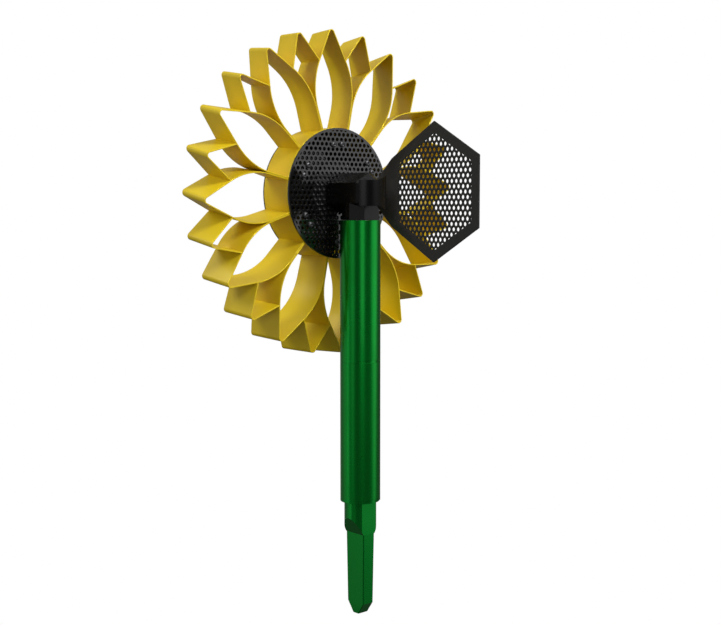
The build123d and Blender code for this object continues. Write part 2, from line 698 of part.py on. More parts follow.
shaft_washer = ring_along_shaft(WASHER_DIAMETER, SHAFT_DIAMETER, washer_front, WASHER_THICKNESS)
shaft_washer.label = "shaft_washer"

with BuildPart() as shaft_nut:
    with BuildSketch(shaft_plane(nut_front)):
        RegularPolygon(NUT_WIDTH / 2, 6, major_radius=False)
        Circle(SHAFT_DIAMETER / 2, mode=Mode.SUBTRACT)
    extrude(amount=NUT_HEIGHT)
shaft_nut.part.label = "shaft_nut"

# ---------------------------------------------------------------- petals

petal_pitch = 360 / PETAL_COUNT
half_wedge = petal_pitch / 2
tip_rounding = PETAL_TIP_ROUND * (1 / sin(radians(PETAL_TIP_HALF_ANGLE)) - 1)
tip_corner = PETAL_TIP_RADIUS + tip_rounding
wedge_slope = tan(radians(half_wedge))
flank_slope = tan(radians(PETAL_TIP_HALF_ANGLE))
shoulder_along = tip_corner * flank_slope / (wedge_slope + flank_slope)
shoulder_across = shoulder_along * wedge_slope


def petal_outline(inset):
    """Outline of a petal pointing along local x, drawn in from its full wedge by inset."""
    with BuildSketch() as outline:
        with BuildLine():
            heel = CenterArc((0, 0), petal_base_radius, -half_wedge, petal_pitch)
            Polyline(
                heel @ 0,
                (shoulder_along, -shoulder_across),
                (tip_corner, 0),
                (shoulder_along, shoulder_across),
                heel @ 1,
            )
        make_face()
        corners = outline.vertices().sort_by(Axis.X)
        fillet(corners[-3:-1], PETAL_SHOULDER_RADIUS)
        fillet(outline.vertices().sort_by(Axis.X)[-1], PETAL_TIP_ROUND + PETAL_GAP / 2)
        offset(amount=-inset, kind=Kind.INTERSECTION)
    return outline.sketch


def wound(outline, turn):
    """The outline drawn out from the front disc to the rear disc with the petals' twist."""
    with BuildPart() as band:
        with BuildSketch(shaft_plane(front_disc_rear)):
            add(outline, rotation=turn)
        with BuildSketch(shaft_plane(rear_disc_front)):
            add(outline, rotation=turn + PETAL_TWIST)
        loft(ruled=True)
    return band.part


petal_solid = wound(petal_outline(PETAL_GAP / 2), 0)
petal_hollow = wound(petal_outline(PETAL_GAP / 2 + PETAL_THICKNESS), 0)
with BuildPart() as petal:
    add(petal_solid)
    add(petal_hollow, mode=Mode.SUBTRACT)

# A leaf is the V between two petals; its legs stop on the petals' flanks.
leaf_slope = tan(radians(LEAF_HALF_ANGLE))
leaf_corner = leaf_tip_radius + LEAF_TIP_ROUND * (1 / sin(radians(LEAF_HALF_ANGLE)) - 1)
leaf_wall = PETAL_THICKNESS / sin(radians(LEAF_HALF_ANGLE))
leaf_back = shoulder_along
with BuildSketch() as leaf_outline:
    with BuildLine():
        Polyline(
            (leaf_corner, 0),
            (leaf_back, (leaf_corner - leaf_back) * leaf_slope),
            (leaf_back, (leaf_corner - leaf_wall - leaf_back) * leaf_slope),
            (leaf_corner - leaf_wall, 0),
            (leaf_back, -(leaf_corner - leaf_wall - leaf_back) * leaf_slope),
            (leaf_back, -(leaf_corner - leaf_back) * leaf_slope),
            (leaf_corner, 0),
        )
    make_face()
    fillet(leaf_outline.vertices().sort_by(Axis.X)[-2], LEAF_TIP_ROUND - PETAL_THICKNESS)
    fillet(leaf_outline.vertices().sort_by(Axis.X)[-1], LEAF_TIP_ROUND)

with BuildPart() as leaf:
    add(wound(leaf_outline.sketch, half_wedge))
    add(petal_solid, mode=Mode.SUBTRACT)
    add(petal_solid.rotate(shaft_axis, petal_pitch), mode=Mode.SUBTRACT)

petals = []
for index in range(PETAL_COUNT):
    turn = index * petal_pitch
    petal_copy = petal.part.rotate(shaft_axis, turn)
    petal_copy.label = f"petal_{index + 1:02d}"
    leaf_copy = leaf.part.rotate(shaft_axis, turn)
    leaf_copy.label = f"leaf_{index + 1:02d}"
    petals += [petal_copy, leaf_copy]

# ---------------------------------------------------------------- tail

vane_half = VANE_SIDE / 2
vane_right = 2 * VANE_CENTRE - vane_left

with BuildSketch() as vane_outline:
    with BuildLine():
        arc_start = vane_left - VANE_ROOT_RADIUS
        top_edge = Line((VANE_TONGUE, BOOM_HALF_HEIGHT), (arc_start, BOOM_HALF_HEIGHT))
        TangentArc(top_edge @ 1, (vane_left, vane_half), tangent=(1, 0))
        hexagon = Polyline(
            (vane_left, vane_half),
            (VANE_CENTRE, VANE_SIDE),
            (vane_right, vane_half),
            (vane_right, -vane_half),
            (VANE_CENTRE, -VANE_SIDE),
            (vane_left, -vane_half),
        )
        TangentArc((vane_left, -vane_half), (arc_start, -BOOM_HALF_HEIGHT), tangent=(0, 1))
        Polyline(
            (arc_start, -BOOM_HALF_HEIGHT),
            (VANE_TONGUE, -BOOM_HALF_HEIGHT),
            (VANE_TONGUE, BOOM_HALF_HEIGHT),
        )
    make_face()

with BuildSketch() as vane_holes:
    with Locations((VANE_CENTRE, 0)):
        with Locations(*hole_lattice(VANE_SIDE)):
            Circle(HOLE_DIAMETER / 2)
    with BuildSketch(mode=Mode.INTERSECT):
        with Locations((VANE_CENTRE, 0)):
            RegularPolygon(VANE_SIDE - VANE_BORDER * 2 / sqrt(3), 6, rotation=30)

with BuildPart() as tail_vane:
    with BuildSketch(side_plane()):
        add(vane_outline.sketch)
        add(vane_holes.sketch, mode=Mode.SUBTRACT)
    extrude(amount=VANE_THICKNESS / 2, both=True)
tail_vane.part.label = "tail_vane"

boom_end_half = VANE_THICKNESS / 2 + BOOM_LIP
with BuildPart() as tail_boom:
    with BuildSketch(Plane.XY.offset(axis_height)):
        with BuildLine():
            right = TangentArc(
                (boom_end_half, BOOM_REACH), (BOOM_ROOT_HALF_THICKNESS, HEAD_REAR), tangent=(0, -1)
            )
            left = TangentArc(
                (-boom_end_half, BOOM_REACH), (-BOOM_ROOT_HALF_THICKNESS, HEAD_REAR), tangent=(0, -1)
            )
            Line(right @ 0, left @ 0)
            Line(right @ 1, left @ 1)
        make_face()
    extrude(amount=VANE_SIDE, both=True)
    with BuildSketch(side_plane()):
        add(vane_outline.sketch)
        with Locations(((HEAD_REAR + VANE_TONGUE) / 2, 0)):
            Rectangle(VANE_TONGUE - HEAD_REAR, 2 * BOOM_HALF_HEIGHT)
    extrude(amount=POST_DIAMETER, both=True, mode=Mode.INTERSECT)
    with BuildSketch(shaft_plane(HEAD_REAR)):
        Circle(head_bore / 2)
    extrude(amount=-TAIL_SPIGOT_LENGTH)
    with BuildSketch(Plane.XY.offset(axis_height + head_bore / 2 - TAIL_PIN_DEPTH)):
        with Locations((0, HEAD_REAR - TAIL_SPIGOT_LENGTH / 2)):
            Circle(TAIL_PIN_DIAMETER / 2)
    extrude(amount=HEX_SIDE, mode=Mode.SUBTRACT)
    with BuildSketch(side_plane()):
        add(vane_outline.sketch)
    extrude(amount=VANE_THICKNESS / 2, both=True, mode=Mode.SUBTRACT)
tail_boom.part.label = "tail_boom"

with BuildPart() as tail_pin:
    pin_bottom = axis_height + head_bore / 2 - TAIL_PIN_DEPTH
    with BuildSketch(Plane.XY.offset(pin_bottom)):
        with Locations((0, HEAD_REAR - TAIL_SPIGOT_LENGTH / 2)):
            Circle(TAIL_PIN_DIAMETER / 2)
    extrude(amount=axis_height + HEX_SIDE - TAIL_PIN_SUNK - pin_bottom)
tail_pin.part.label = "tail_pin"

# ---------------------------------------------------------------- export

pieces = [
    ground_stake.part,
    lower_post_tube,
    upper_post_tube,
    post_joiner.part,
    yaw_bearing_housing.part,
    yaw_outer_races.part,
    yaw_inner_races.part,
    yaw_balls,
    yaw_housing_ring.part,
    yaw_shaft.part,
    yaw_shaft_ring.part,
    slip_ring_spindle.part,
    slip_ring_body.part,
    head_housing.part,
    shaft_outer_races.part,
    shaft_inner_races.part,
    shaft_balls,
    rear_bearing_carrier.part,
    generator_stator.part,
    generator_coils.part,
    generator_core,
    generator_magnets.part,
    rotor_shaft.part,
    rotor_hub.part,
    shaft_collar,
    rear_disc.part,
    front_disc.part,
    spacer_blocks.part,
    rear_disc_screws.part,
    front_disc_screws.part,
    shaft_washer,
    shaft_nut.part,
    tail_vane.part,
    tail_boom.part,
    tail_pin.part,
    *petals,
]

os.makedirs("parts", exist_ok=True)
for piece in pieces:
    export_step(piece, f"parts/{piece.label}.step")
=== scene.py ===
import json
import logging
import math
from dataclasses import dataclass, field
from enum import Enum
from typing import Callable, Sequence, Union

import bmesh
import bpy
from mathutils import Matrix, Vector
from mathutils.geometry import delaunay_2d_cdt


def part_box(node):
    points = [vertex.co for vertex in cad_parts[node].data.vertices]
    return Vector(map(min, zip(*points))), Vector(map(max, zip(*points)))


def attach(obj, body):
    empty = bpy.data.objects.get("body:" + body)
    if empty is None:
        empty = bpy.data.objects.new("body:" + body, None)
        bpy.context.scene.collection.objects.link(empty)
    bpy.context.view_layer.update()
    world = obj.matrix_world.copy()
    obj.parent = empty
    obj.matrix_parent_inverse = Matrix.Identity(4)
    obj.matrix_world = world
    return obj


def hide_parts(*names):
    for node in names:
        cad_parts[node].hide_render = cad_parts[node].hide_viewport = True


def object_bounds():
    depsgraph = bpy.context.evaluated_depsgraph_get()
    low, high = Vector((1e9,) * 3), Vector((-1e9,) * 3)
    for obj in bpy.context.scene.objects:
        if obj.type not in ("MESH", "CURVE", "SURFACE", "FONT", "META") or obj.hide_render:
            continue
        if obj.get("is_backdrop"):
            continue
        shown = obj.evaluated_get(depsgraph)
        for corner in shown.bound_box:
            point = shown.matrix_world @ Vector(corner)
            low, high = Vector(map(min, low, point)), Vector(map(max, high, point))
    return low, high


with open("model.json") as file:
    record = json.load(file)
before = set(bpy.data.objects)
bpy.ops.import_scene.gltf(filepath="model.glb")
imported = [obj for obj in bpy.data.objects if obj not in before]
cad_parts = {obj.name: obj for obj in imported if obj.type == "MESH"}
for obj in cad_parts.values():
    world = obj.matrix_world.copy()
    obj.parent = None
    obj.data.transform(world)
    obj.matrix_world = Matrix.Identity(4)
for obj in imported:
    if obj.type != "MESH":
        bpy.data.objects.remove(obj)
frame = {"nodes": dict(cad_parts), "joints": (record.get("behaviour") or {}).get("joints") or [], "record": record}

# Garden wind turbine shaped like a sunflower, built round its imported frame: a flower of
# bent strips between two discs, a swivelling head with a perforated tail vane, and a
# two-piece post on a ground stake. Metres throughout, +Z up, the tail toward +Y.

LOG = logging.getLogger("turbine")
CAD_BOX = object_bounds()
MM = 0.001
EDGE_ATTRIBUTE = "edge"

Point2 = tuple[float, float]
Socket = bpy.types.NodeSocket
Input = Union[Socket, float, tuple]
Colour = tuple[float, float, float]


# ------------------------------------------------------------------ shader graphs


class Graph:
    """Adds and joins shader nodes in one node tree."""

    def __init__(self, tree: bpy.types.NodeTree) -> None:
        """Args:
            tree: the node tree that the nodes go into.
        """
        self.tree = tree
        self.column = 0

    def node(
        self, kind: str, inputs: dict[object, Input] | None = None, **settings: object
    ) -> bpy.types.Node:
        """Adds a node.

        Args:
            kind: the node's Blender type name.
            inputs: values or sockets for its inputs, by input name or index.
            **settings: the node's own properties.

        Returns:
            The new node.
        """
        made = self.tree.nodes.new(kind)
        made.location = (self.column, 0)
        self.column += 180
        for name, value in settings.items():
            setattr(made, name, value)
        for key, value in (inputs or {}).items():
            self.feed(made.inputs[key], value)
        return made

    def feed(self, target: Socket, value: Input) -> None:
        """Links a socket, or sets a plain value, on an input."""
        if isinstance(value, bpy.types.NodeSocket):
            self.tree.links.new(value, target)
        elif isinstance(value, tuple) and len(value) == 3 and target.type == "RGBA":
            target.default_value = (*value, 1.0)
        else:
            target.default_value = value

    def place(self) -> Socket:
        """The point's place in the row frame, which no node's object moves at rest."""
        return self.node("ShaderNodeTexCoord").outputs["Object"]

    def along(self, axis: "Axis") -> Socket:
        """The point's coordinate along one axis."""
        split = self.node("ShaderNodeSeparateXYZ", {0: self.place()})
        return split.outputs[axis.value]

    def noise(self, scale: Input, detail: float = 3.0, where: Socket | None = None) -> Socket:
        """Smooth noise from 0 to 1.

        Args:
            scale: how many features fit in a metre.
            detail: the number of finer layers.
            where: the point, by default its place in the row frame.

        Returns:
            The noise value.
        """
        vector = where or self.place()
        made = self.node("ShaderNodeTexNoise", {"Vector": vector, "Scale": scale, "Detail": detail})
        return made.outputs[0]

    def math(self, operation: str, first: Input, second: Input = 0.0) -> Socket:
        """One arithmetic step on two values."""
        return self.node("ShaderNodeMath", {0: first, 1: second}, operation=operation).outputs[0]

    def remap(
        self, value: Input, low: Input, high: Input, to_low: Input = 0.0, to_high: Input = 1.0
    ) -> Socket:
        """Value, stretched from low..high to to_low..to_high and held there."""
        inputs = {0: value, 1: low, 2: high, 3: to_low, 4: to_high}
        return self.node("ShaderNodeMapRange", inputs).outputs[0]

    def blend(self, share: Input, first: Input, second: Input) -> Socket:
        """A colour between two colours."""
        made = self.node("ShaderNodeMix", {0: share, 6: first, 7: second}, data_type="RGBA")
        return made.outputs[2]

    def bump(self, height: Socket, strength: float, distance: float) -> Socket:
        """A normal from a height.

        Args:
            height: the height, 0 to 1.
            strength: how much of it shows.
            distance: the height of 1, in metres.

        Returns:
            The bumped normal.
        """
        inputs = {"Height": height, "Strength": strength, "Distance": distance}
        return self.node("ShaderNodeBump", inputs).outputs[0]


class Axis(Enum):
    """The axes that turned parts are round, as outputs of a Separate XYZ node."""

    SHAFT = "Y"
    POST = "Z"


class Effects:
    """The shader node groups that several finishes use, each built once."""

    def __init__(self) -> None:
        """Builds every group."""
        self.mottle = self._mottle()
        self.skin = self._skin()
        self.dust = self._dust()
        self.edge_rub_and_shading = self._edge_rub_and_shading()
        self.rings = self._rings()

    def _new(
        self, name: str, inputs: dict[str, float], outputs: Sequence[str]
    ) -> tuple[Graph, dict, Callable]:
        """Starts a group with number inputs and outputs.

        Args:
            name: the group's name.
            inputs: each input and its usual value.
            outputs: the outputs' names.

        Returns:
            The graph, the input sockets by name, and a call that feeds an output.
        """
        tree = bpy.data.node_groups.new(name, "ShaderNodeTree")
        for label, value in inputs.items():
            made = tree.interface.new_socket(label, in_out="INPUT", socket_type="NodeSocketFloat")
            made.default_value = value
        for label in outputs:
            tree.interface.new_socket(label, in_out="OUTPUT", socket_type="NodeSocketFloat")
        graph = Graph(tree)
        entry = graph.node("NodeGroupInput")
        leave = graph.node("NodeGroupOutput")
        sockets = {label: entry.outputs[label] for label in inputs}
        return graph, sockets, lambda label, value: graph.feed(leave.inputs[label], value)

    def _mottle(self) -> bpy.types.NodeTree:
        """Broad uneven patches of tone, as a mask."""
        graph, given, put = self._new("broad_mottle", {"Scale": 20.0, "Contrast": 1.0}, ["Mask"])
        patches = graph.noise(given["Scale"], 4.0)
        spread = graph.math("MULTIPLY", graph.math("SUBTRACT", patches, 0.5), given["Contrast"])
        put("Mask", graph.remap(graph.math("ADD", spread, 0.5), 0.2, 0.8))
        return graph.tree

    def _skin(self) -> bpy.types.NodeTree:
        """The slight waviness of sprayed paint with a finer grain on it, as a height."""
        scales = {"Wave Scale": 700.0, "Grain Scale": 5000.0, "Grain": 0.3}
        graph, given, put = self._new("sprayed_skin", scales, ["Height"])
        wave = graph.noise(given["Wave Scale"], 1.0)
        grain = graph.math("MULTIPLY", graph.noise(given["Grain Scale"], 2.0), given["Grain"])
        put("Height", graph.math("ADD", wave, grain))
        return graph.tree

    def _dust(self) -> bpy.types.NodeTree:
        """Dust that lies on what faces up, in soft patches, as a mask."""
        graph, given, put = self._new("settled_dust", {"Amount": 0.2, "Scale": 60.0}, ["Mask"])
        normal = graph.node("ShaderNodeNewGeometry").outputs["Normal"]
        upward = graph.node("ShaderNodeSeparateXYZ", {0: normal}).outputs["Z"]
        lying = graph.remap(upward, -0.2, 0.9)
        patches = graph.remap(graph.noise(given["Scale"], 5.0), 0.35, 0.75)
        put("Mask", graph.math("MULTIPLY", graph.math("MULTIPLY", lying, patches), given["Amount"]))
        return graph.tree

    def _edge_rub_and_shading(self) -> bpy.types.NodeTree:
        """Where handling has rubbed the rounded edges, and where the finishes paint shade or highlight on them, in
        broken stretches, as a mask.
        """
        graph, given, put = self._new("rubbed_and_shaded_edges", {"Amount": 0.5, "Scale": 90.0}, ["Mask"])
        edge = graph.node("ShaderNodeAttribute", attribute_name=EDGE_ATTRIBUTE).outputs["Fac"]
        broken = graph.remap(graph.noise(given["Scale"], 6.0), 0.42, 0.62)
        put("Mask", graph.math("MULTIPLY", graph.math("MULTIPLY", edge, broken), given["Amount"]))
        return graph.tree

    def _rings(self) -> bpy.types.NodeTree:
        """The fine rings that a turning tool leaves, from a place along the axis, as a height."""
        graph, given, put = self._new("turned_rings", {"Along": 0.0, "Rings per Metre": 3000.0}, ["Height"])
        inputs = {"W": given["Along"], "Scale": given["Rings per Metre"], "Detail": 2.0}
        rings = graph.node("ShaderNodeTexNoise", inputs, noise_dimensions="1D").outputs[0]
        put("Height", rings)
        return graph.tree

    @staticmethod
    def use(graph: Graph, tree: bpy.types.NodeTree, **inputs: Input) -> Socket:
        """Places a group in a material and gives back its output.

        Args:
            graph: the material's graph.
            tree: the group.
            **inputs: the group's inputs, with underscores for spaces.

        Returns:
            The group's output socket.
        """
        made = graph.node("ShaderNodeGroup", node_tree=tree)
        for label, value in inputs.items():
            graph.feed(made.inputs[label.replace("_", " ")], value)
        return made.outputs[0]


# ------------------------------------------------------------------ finishes


@dataclass(frozen=True)
class Finish:
    """What every finish has in common: a name and a shader to end in."""

    name: str
    colour: Colour

    def start(self) -> tuple[bpy.types.Material, Graph, bpy.types.Node]:
        """Makes an empty material.

        Returns:
            The material, its graph and its Principled shader.
        """
        made = bpy.data.materials.new(self.name)
        made.use_nodes = True
        made.node_tree.nodes.clear()
        graph = Graph(made.node_tree)
        shader = graph.node("ShaderNodeBsdfPrincipled")
        graph.node("ShaderNodeOutputMaterial", {"Surface": shader.outputs[0]})
        made.diffuse_color = (*self.colour, 1.0)
        return made, graph, shader

    def material(self, effects: Effects) -> bpy.types.Material:
        """Builds the material."""
        raise NotImplementedError


@dataclass(frozen=True)
class Lacquer(Finish):
    """Sprayed paint or lacquer on metal, with dust, tone patches, and rubbed edges whose rub colour also paints
    shade or highlight on them.
    """

    deep: Colour
    metallic: float = 0.0
    roughness: float = 0.35
    specular: float = 0.5
    coat: float = 0.0
    coat_roughness: float = 0.1
    wave: float = 0.00002
    grain: float = 0.3
    dust: float = 0.15
    dust_colour: Colour = (0.45, 0.42, 0.36)
    rub_and_edge_shading: float = 0.35
    rub_and_edge_shading_colour: Colour = (0.5, 0.5, 0.5)
    flake: float = 0.0

    def material(self, effects: Effects) -> bpy.types.Material:
        """Builds the material.

        Args:
            effects: the shared node groups.

        Returns:
            The finished material.
        """
        made, graph, shader = self.start()
        mottle = effects.use(graph, effects.mottle, Scale=14.0, Contrast=1.2)
        dust = effects.use(graph, effects.dust, Amount=self.dust, Scale=45.0)
        rub_and_edge_shading = effects.use(graph, effects.edge_rub_and_shading, Amount=self.rub_and_edge_shading, Scale=120.0)
        colour = graph.blend(mottle, self.deep, self.colour)
        if self.flake:
            cells = graph.node("ShaderNodeTexVoronoi", {"Vector": graph.place(), "Scale": 5500.0})
            sparkle = graph.remap(cells.outputs["Color"], 0.55, 1.0, 0.0, self.flake)
            light = tuple(min(1.0, channel * 2.2 + 0.02) for channel in self.colour)
            colour = graph.blend(sparkle, colour, light)
        # The rub colour on the rounded edges: part rub wear, part painted shade on the green parts and painted
        # highlight on the petals and black parts.
        colour = graph.blend(rub_and_edge_shading, colour, self.rub_and_edge_shading_colour)
        graph.feed(shader.inputs["Base Color"], graph.blend(dust, colour, self.dust_colour))
        uneven = graph.remap(mottle, 0.0, 1.0, self.roughness + 0.05, self.roughness - 0.03)
        graph.feed(shader.inputs["Roughness"], graph.math("ADD", uneven, graph.math("MULTIPLY", dust, 0.5)))
        metal = graph.remap(dust, 0.0, 1.0, self.metallic, 0.0)
        graph.feed(shader.inputs["Metallic"], graph.math("MAXIMUM", metal, graph.math("MULTIPLY", rub_and_edge_shading, 0.8)))
        shader.inputs["Specular IOR Level"].default_value = self.specular
        shader.inputs["Coat Weight"].default_value = self.coat
        shader.inputs["Coat Roughness"].default_value = self.coat_roughness
        skin = effects.use(graph, effects.skin, Grain=self.grain)
        graph.feed(shader.inputs["Normal"], graph.bump(skin, 0.6, self.wave))
        return made


@dataclass(frozen=True)
class Turned(Finish):
    """Metal turned or ground about an axis, with tool rings and a few oil stains."""

    axis: Axis = Axis.SHAFT
    roughness: float = 0.28
    depth: float = 0.00001
    stain: Colour = (0.16, 0.13, 0.10)

    def material(self, effects: Effects) -> bpy.types.Material:
        """Builds the material.

        Args:
            effects: the shared node groups.

        Returns:
            The finished material.
        """
        made, graph, shader = self.start()
        rings = effects.use(graph, effects.rings, Along=graph.along(self.axis))
        mottle = effects.use(graph, effects.mottle, Scale=220.0, Contrast=1.4)
        stained = graph.remap(mottle, 0.75, 1.0, 0.0, 0.35)
        graph.feed(shader.inputs["Base Color"], graph.blend(stained, self.colour, self.stain))
        spread = graph.remap(rings, 0.3, 0.7, self.roughness - 0.05, self.roughness + 0.1)
        uneven = graph.math("ADD", spread, graph.math("MULTIPLY", stained, 0.4))
        graph.feed(shader.inputs["Roughness"], uneven)
        shader.inputs["Metallic"].default_value = 1.0
        graph.feed(shader.inputs["Normal"], graph.bump(rings, 0.7, self.depth))
        return made


@dataclass(frozen=True)
class Banded(Finish):
    """Something made of many thin layers along an axis: stacked sheets or wound wire."""

    gap: Colour
    axis: Axis = Axis.SHAFT
    bands_per_metre: float = 2000.0
    roughness: float = 0.4
    metallic: float = 1.0
    coat: float = 0.0

    def material(self, effects: Effects) -> bpy.types.Material:
        """Builds the material.

        Args:
            effects: the shared node groups.

        Returns:
            The finished material.
        """
        made, graph, shader = self.start()
        phase = graph.math("MULTIPLY", graph.along(self.axis), self.bands_per_metre * 2 * math.pi)
        wave = graph.remap(graph.math("SINE", phase), -1.0, 1.0)
        mottle = effects.use(graph, effects.mottle, Scale=300.0, Contrast=1.0)
        tone = graph.blend(graph.math("MULTIPLY", mottle, 0.3), self.colour, self.gap)
        graph.feed(shader.inputs["Base Color"], graph.blend(graph.remap(wave, 0.0, 0.3), self.gap, tone))
        uneven = graph.remap(mottle, 0.0, 1.0, self.roughness, self.roughness + 0.15)
        graph.feed(shader.inputs["Roughness"], uneven)
        shader.inputs["Metallic"].default_value = self.metallic
        shader.inputs["Coat Weight"].default_value = self.coat
        graph.feed(shader.inputs["Normal"], graph.bump(wave, 0.8, 0.2 / self.bands_per_metre))
        return made


@dataclass(frozen=True)
class Moulded(Finish):
    """Moulded plastic with a fine spark-eroded grain."""

    roughness: float = 0.5

    def material(self, effects: Effects) -> bpy.types.Material:
        """Builds the material.

        Args:
            effects: the shared node groups.

        Returns:
            The finished material.
        """
        made, graph, shader = self.start()
        mottle = effects.use(graph, effects.mottle, Scale=60.0, Contrast=0.8)
        pale = tuple(channel * 1.5 + 0.01 for channel in self.colour)
        graph.feed(shader.inputs["Base Color"], graph.blend(mottle, self.colour, pale))
        uneven = graph.remap(mottle, 0.0, 1.0, self.roughness, self.roughness + 0.1)
        graph.feed(shader.inputs["Roughness"], uneven)
        skin = effects.use(graph, effects.skin, Wave_Scale=2500.0, Grain_Scale=6000.0, Grain=0.8)
        graph.feed(shader.inputs["Normal"], graph.bump(skin, 0.5, 0.00003))
        return made


# Lighter grey on the black parts' rounded edges: part rub wear, part painted highlight along rims and edges.
BLACK_RUB_AND_SHEEN = (0.10, 0.10, 0.105)

FINISHES = {
    # green_paint: its rub colour is a painted shade, a darker green along the rounded edges of the post and stake.
    "green_paint": Lacquer(
        "green_paint", (0.0015, 0.32, 0.032), deep=(0.001, 0.27, 0.026), metallic=0.96, roughness=0.27,
        flake=0.2, dust=0.02, rub_and_edge_shading=0.9, rub_and_edge_shading_colour=(0.001, 0.05, 0.008), grain=0.1, wave=0.000008,
        coat=0.1, coat_roughness=0.1,
    ),
    # petal_yellow: its rub colour is a painted highlight, a brighter yellow along the petals' rounded edges.
    "petal_yellow": Lacquer(
        "petal_yellow", (0.84, 0.62, 0.012), deep=(0.74, 0.535, 0.009), roughness=0.33, specular=0.25,
        dust=0.03, rub_and_edge_shading=0.8, rub_and_edge_shading_colour=(1.0, 0.78, 0.06), grain=0.2, wave=0.00001,
    ),
    "black_paint": Lacquer(
        "black_paint", (0.003, 0.003, 0.003), deep=(0.002, 0.002, 0.002), roughness=0.24, specular=0.25,
        dust=0.02, rub_and_edge_shading=0.5, rub_and_edge_shading_colour=BLACK_RUB_AND_SHEEN, grain=0.4, wave=0.00001,
    ),
    "black_disc": Lacquer(
        "black_disc", (0.006, 0.006, 0.006), deep=(0.004, 0.004, 0.004), roughness=0.1, specular=0.75,
        dust=0.015, rub_and_edge_shading=0.35, rub_and_edge_shading_colour=BLACK_RUB_AND_SHEEN, grain=0.3, wave=0.000006,
    ),
    # black_vane: lighter than the head's black paint, a painted light for the brighter look of the vane's flat
    # sides.
    "black_vane": Lacquer(
        "black_vane", (0.034, 0.034, 0.033), deep=(0.029, 0.029, 0.028), roughness=0.4, specular=0.1,
        dust=0.02, rub_and_edge_shading=0.3, rub_and_edge_shading_colour=BLACK_RUB_AND_SHEEN, grain=0.3, wave=0.000006,
    ),
    # black_hub: lighter than the disc's black, a painted light so that the flange seen through the disc's holes
    # looks less shaded.
    "black_hub": Lacquer(
        "black_hub", (0.05, 0.05, 0.052), deep=(0.04, 0.04, 0.042), roughness=0.16, specular=0.7,
        dust=0.02, rub_and_edge_shading=0.4, rub_and_edge_shading_colour=BLACK_RUB_AND_SHEEN, grain=0.4, wave=0.000006,
    ),
    "black_screw": Lacquer(
        "black_screw", (0.11, 0.11, 0.115), deep=(0.09, 0.09, 0.095), metallic=0.85, roughness=0.36,
        dust=0.02, rub_and_edge_shading=0.6, rub_and_edge_shading_colour=(0.5, 0.5, 0.51), grain=0.2, wave=0.000006,
    ),
    "bare_aluminium": Turned("bare_aluminium", (0.72, 0.72, 0.73), axis=Axis.POST, roughness=0.32),
    "bearing_steel": Turned("bearing_steel", (0.62, 0.62, 0.64), roughness=0.16, depth=0.000004),
    "spring_steel": Turned("spring_steel", (0.22, 0.22, 0.23), axis=Axis.POST, roughness=0.35),
    "turned_steel": Turned("turned_steel", (0.55, 0.55, 0.57), roughness=0.25),
    "slip_ring_plastic": Moulded("slip_ring_plastic", (0.02, 0.02, 0.022)),
    "stator_iron": Banded("stator_iron", (0.28, 0.28, 0.29), gap=(0.05, 0.05, 0.05), bands_per_metre=2000.0),
    "copper": Banded(
        "copper", (0.66, 0.27, 0.10), gap=(0.20, 0.07, 0.03), bands_per_metre=1500.0, roughness=0.3, coat=0.5
    ),
    "magnet": Turned("magnet", (0.60, 0.60, 0.58), roughness=0.14, depth=0.000003),
}


# ------------------------------------------------------------------ mesh helpers


@dataclass
class Shell:
    """A mesh being built from points and faces, with its rounded edges marked for rub wear and painted edge
    shading.
    """

    points: list[Vector] = field(default_factory=list)
    faces: list[Sequence[int]] = field(default_factory=list)
    rubbed_and_shaded: set[int] = field(default_factory=set)

    def ring(self, loop: Sequence[Vector]) -> list[int]:
        """Adds a loop of points and gives back their numbers."""
        first = len(self.points)
        self.points.extend(loop)
        return list(range(first, len(self.points)))

    def face(self, corners: Sequence[int], rubbed_and_shaded: bool = False) -> None:
        """Adds one face, marked where it is a rounded edge that takes rub wear and painted edge shading."""
        if rubbed_and_shaded:
            self.rubbed_and_shaded.add(len(self.faces))
        self.faces.append(tuple(corners))

    def strip(
        self, first: Sequence[int], second: Sequence[int], closed: bool = True, rubbed_and_shaded: bool = False
    ) -> None:
        """Joins two loops of equal length with quads.

        Args:
            first: one loop's point numbers.
            second: the other loop's.
            closed: whether the loops close on themselves.
            rubbed_and_shaded: whether the quads are a rounded edge that takes rub wear and painted edge shading.
        """
        count = len(first)
        for index in range(count if closed else count - 1):
            after = (index + 1) % count
            self.face((first[index], first[after], second[after], second[index]), rubbed_and_shaded)

    def piece(self, name: str, crease: float = 35.0) -> bpy.types.Object:
        """Makes the object.

        Args:
            name: the piece's name.
            crease: the angle in degrees over which an edge stays sharp.

        Returns:
            The new object, linked to the scene.
        """
        mesh = bpy.data.meshes.new(name)
        mesh.from_pydata([tuple(point) for point in self.points], [], self.faces)
        edge = mesh.attributes.new(EDGE_ATTRIBUTE, "FLOAT", "CORNER")
        for polygon in mesh.polygons:
            if polygon.index in self.rubbed_and_shaded:
                for corner in polygon.loop_indices:
                    edge.data[corner].value = 1.0
        return finish_mesh(name, mesh, crease)


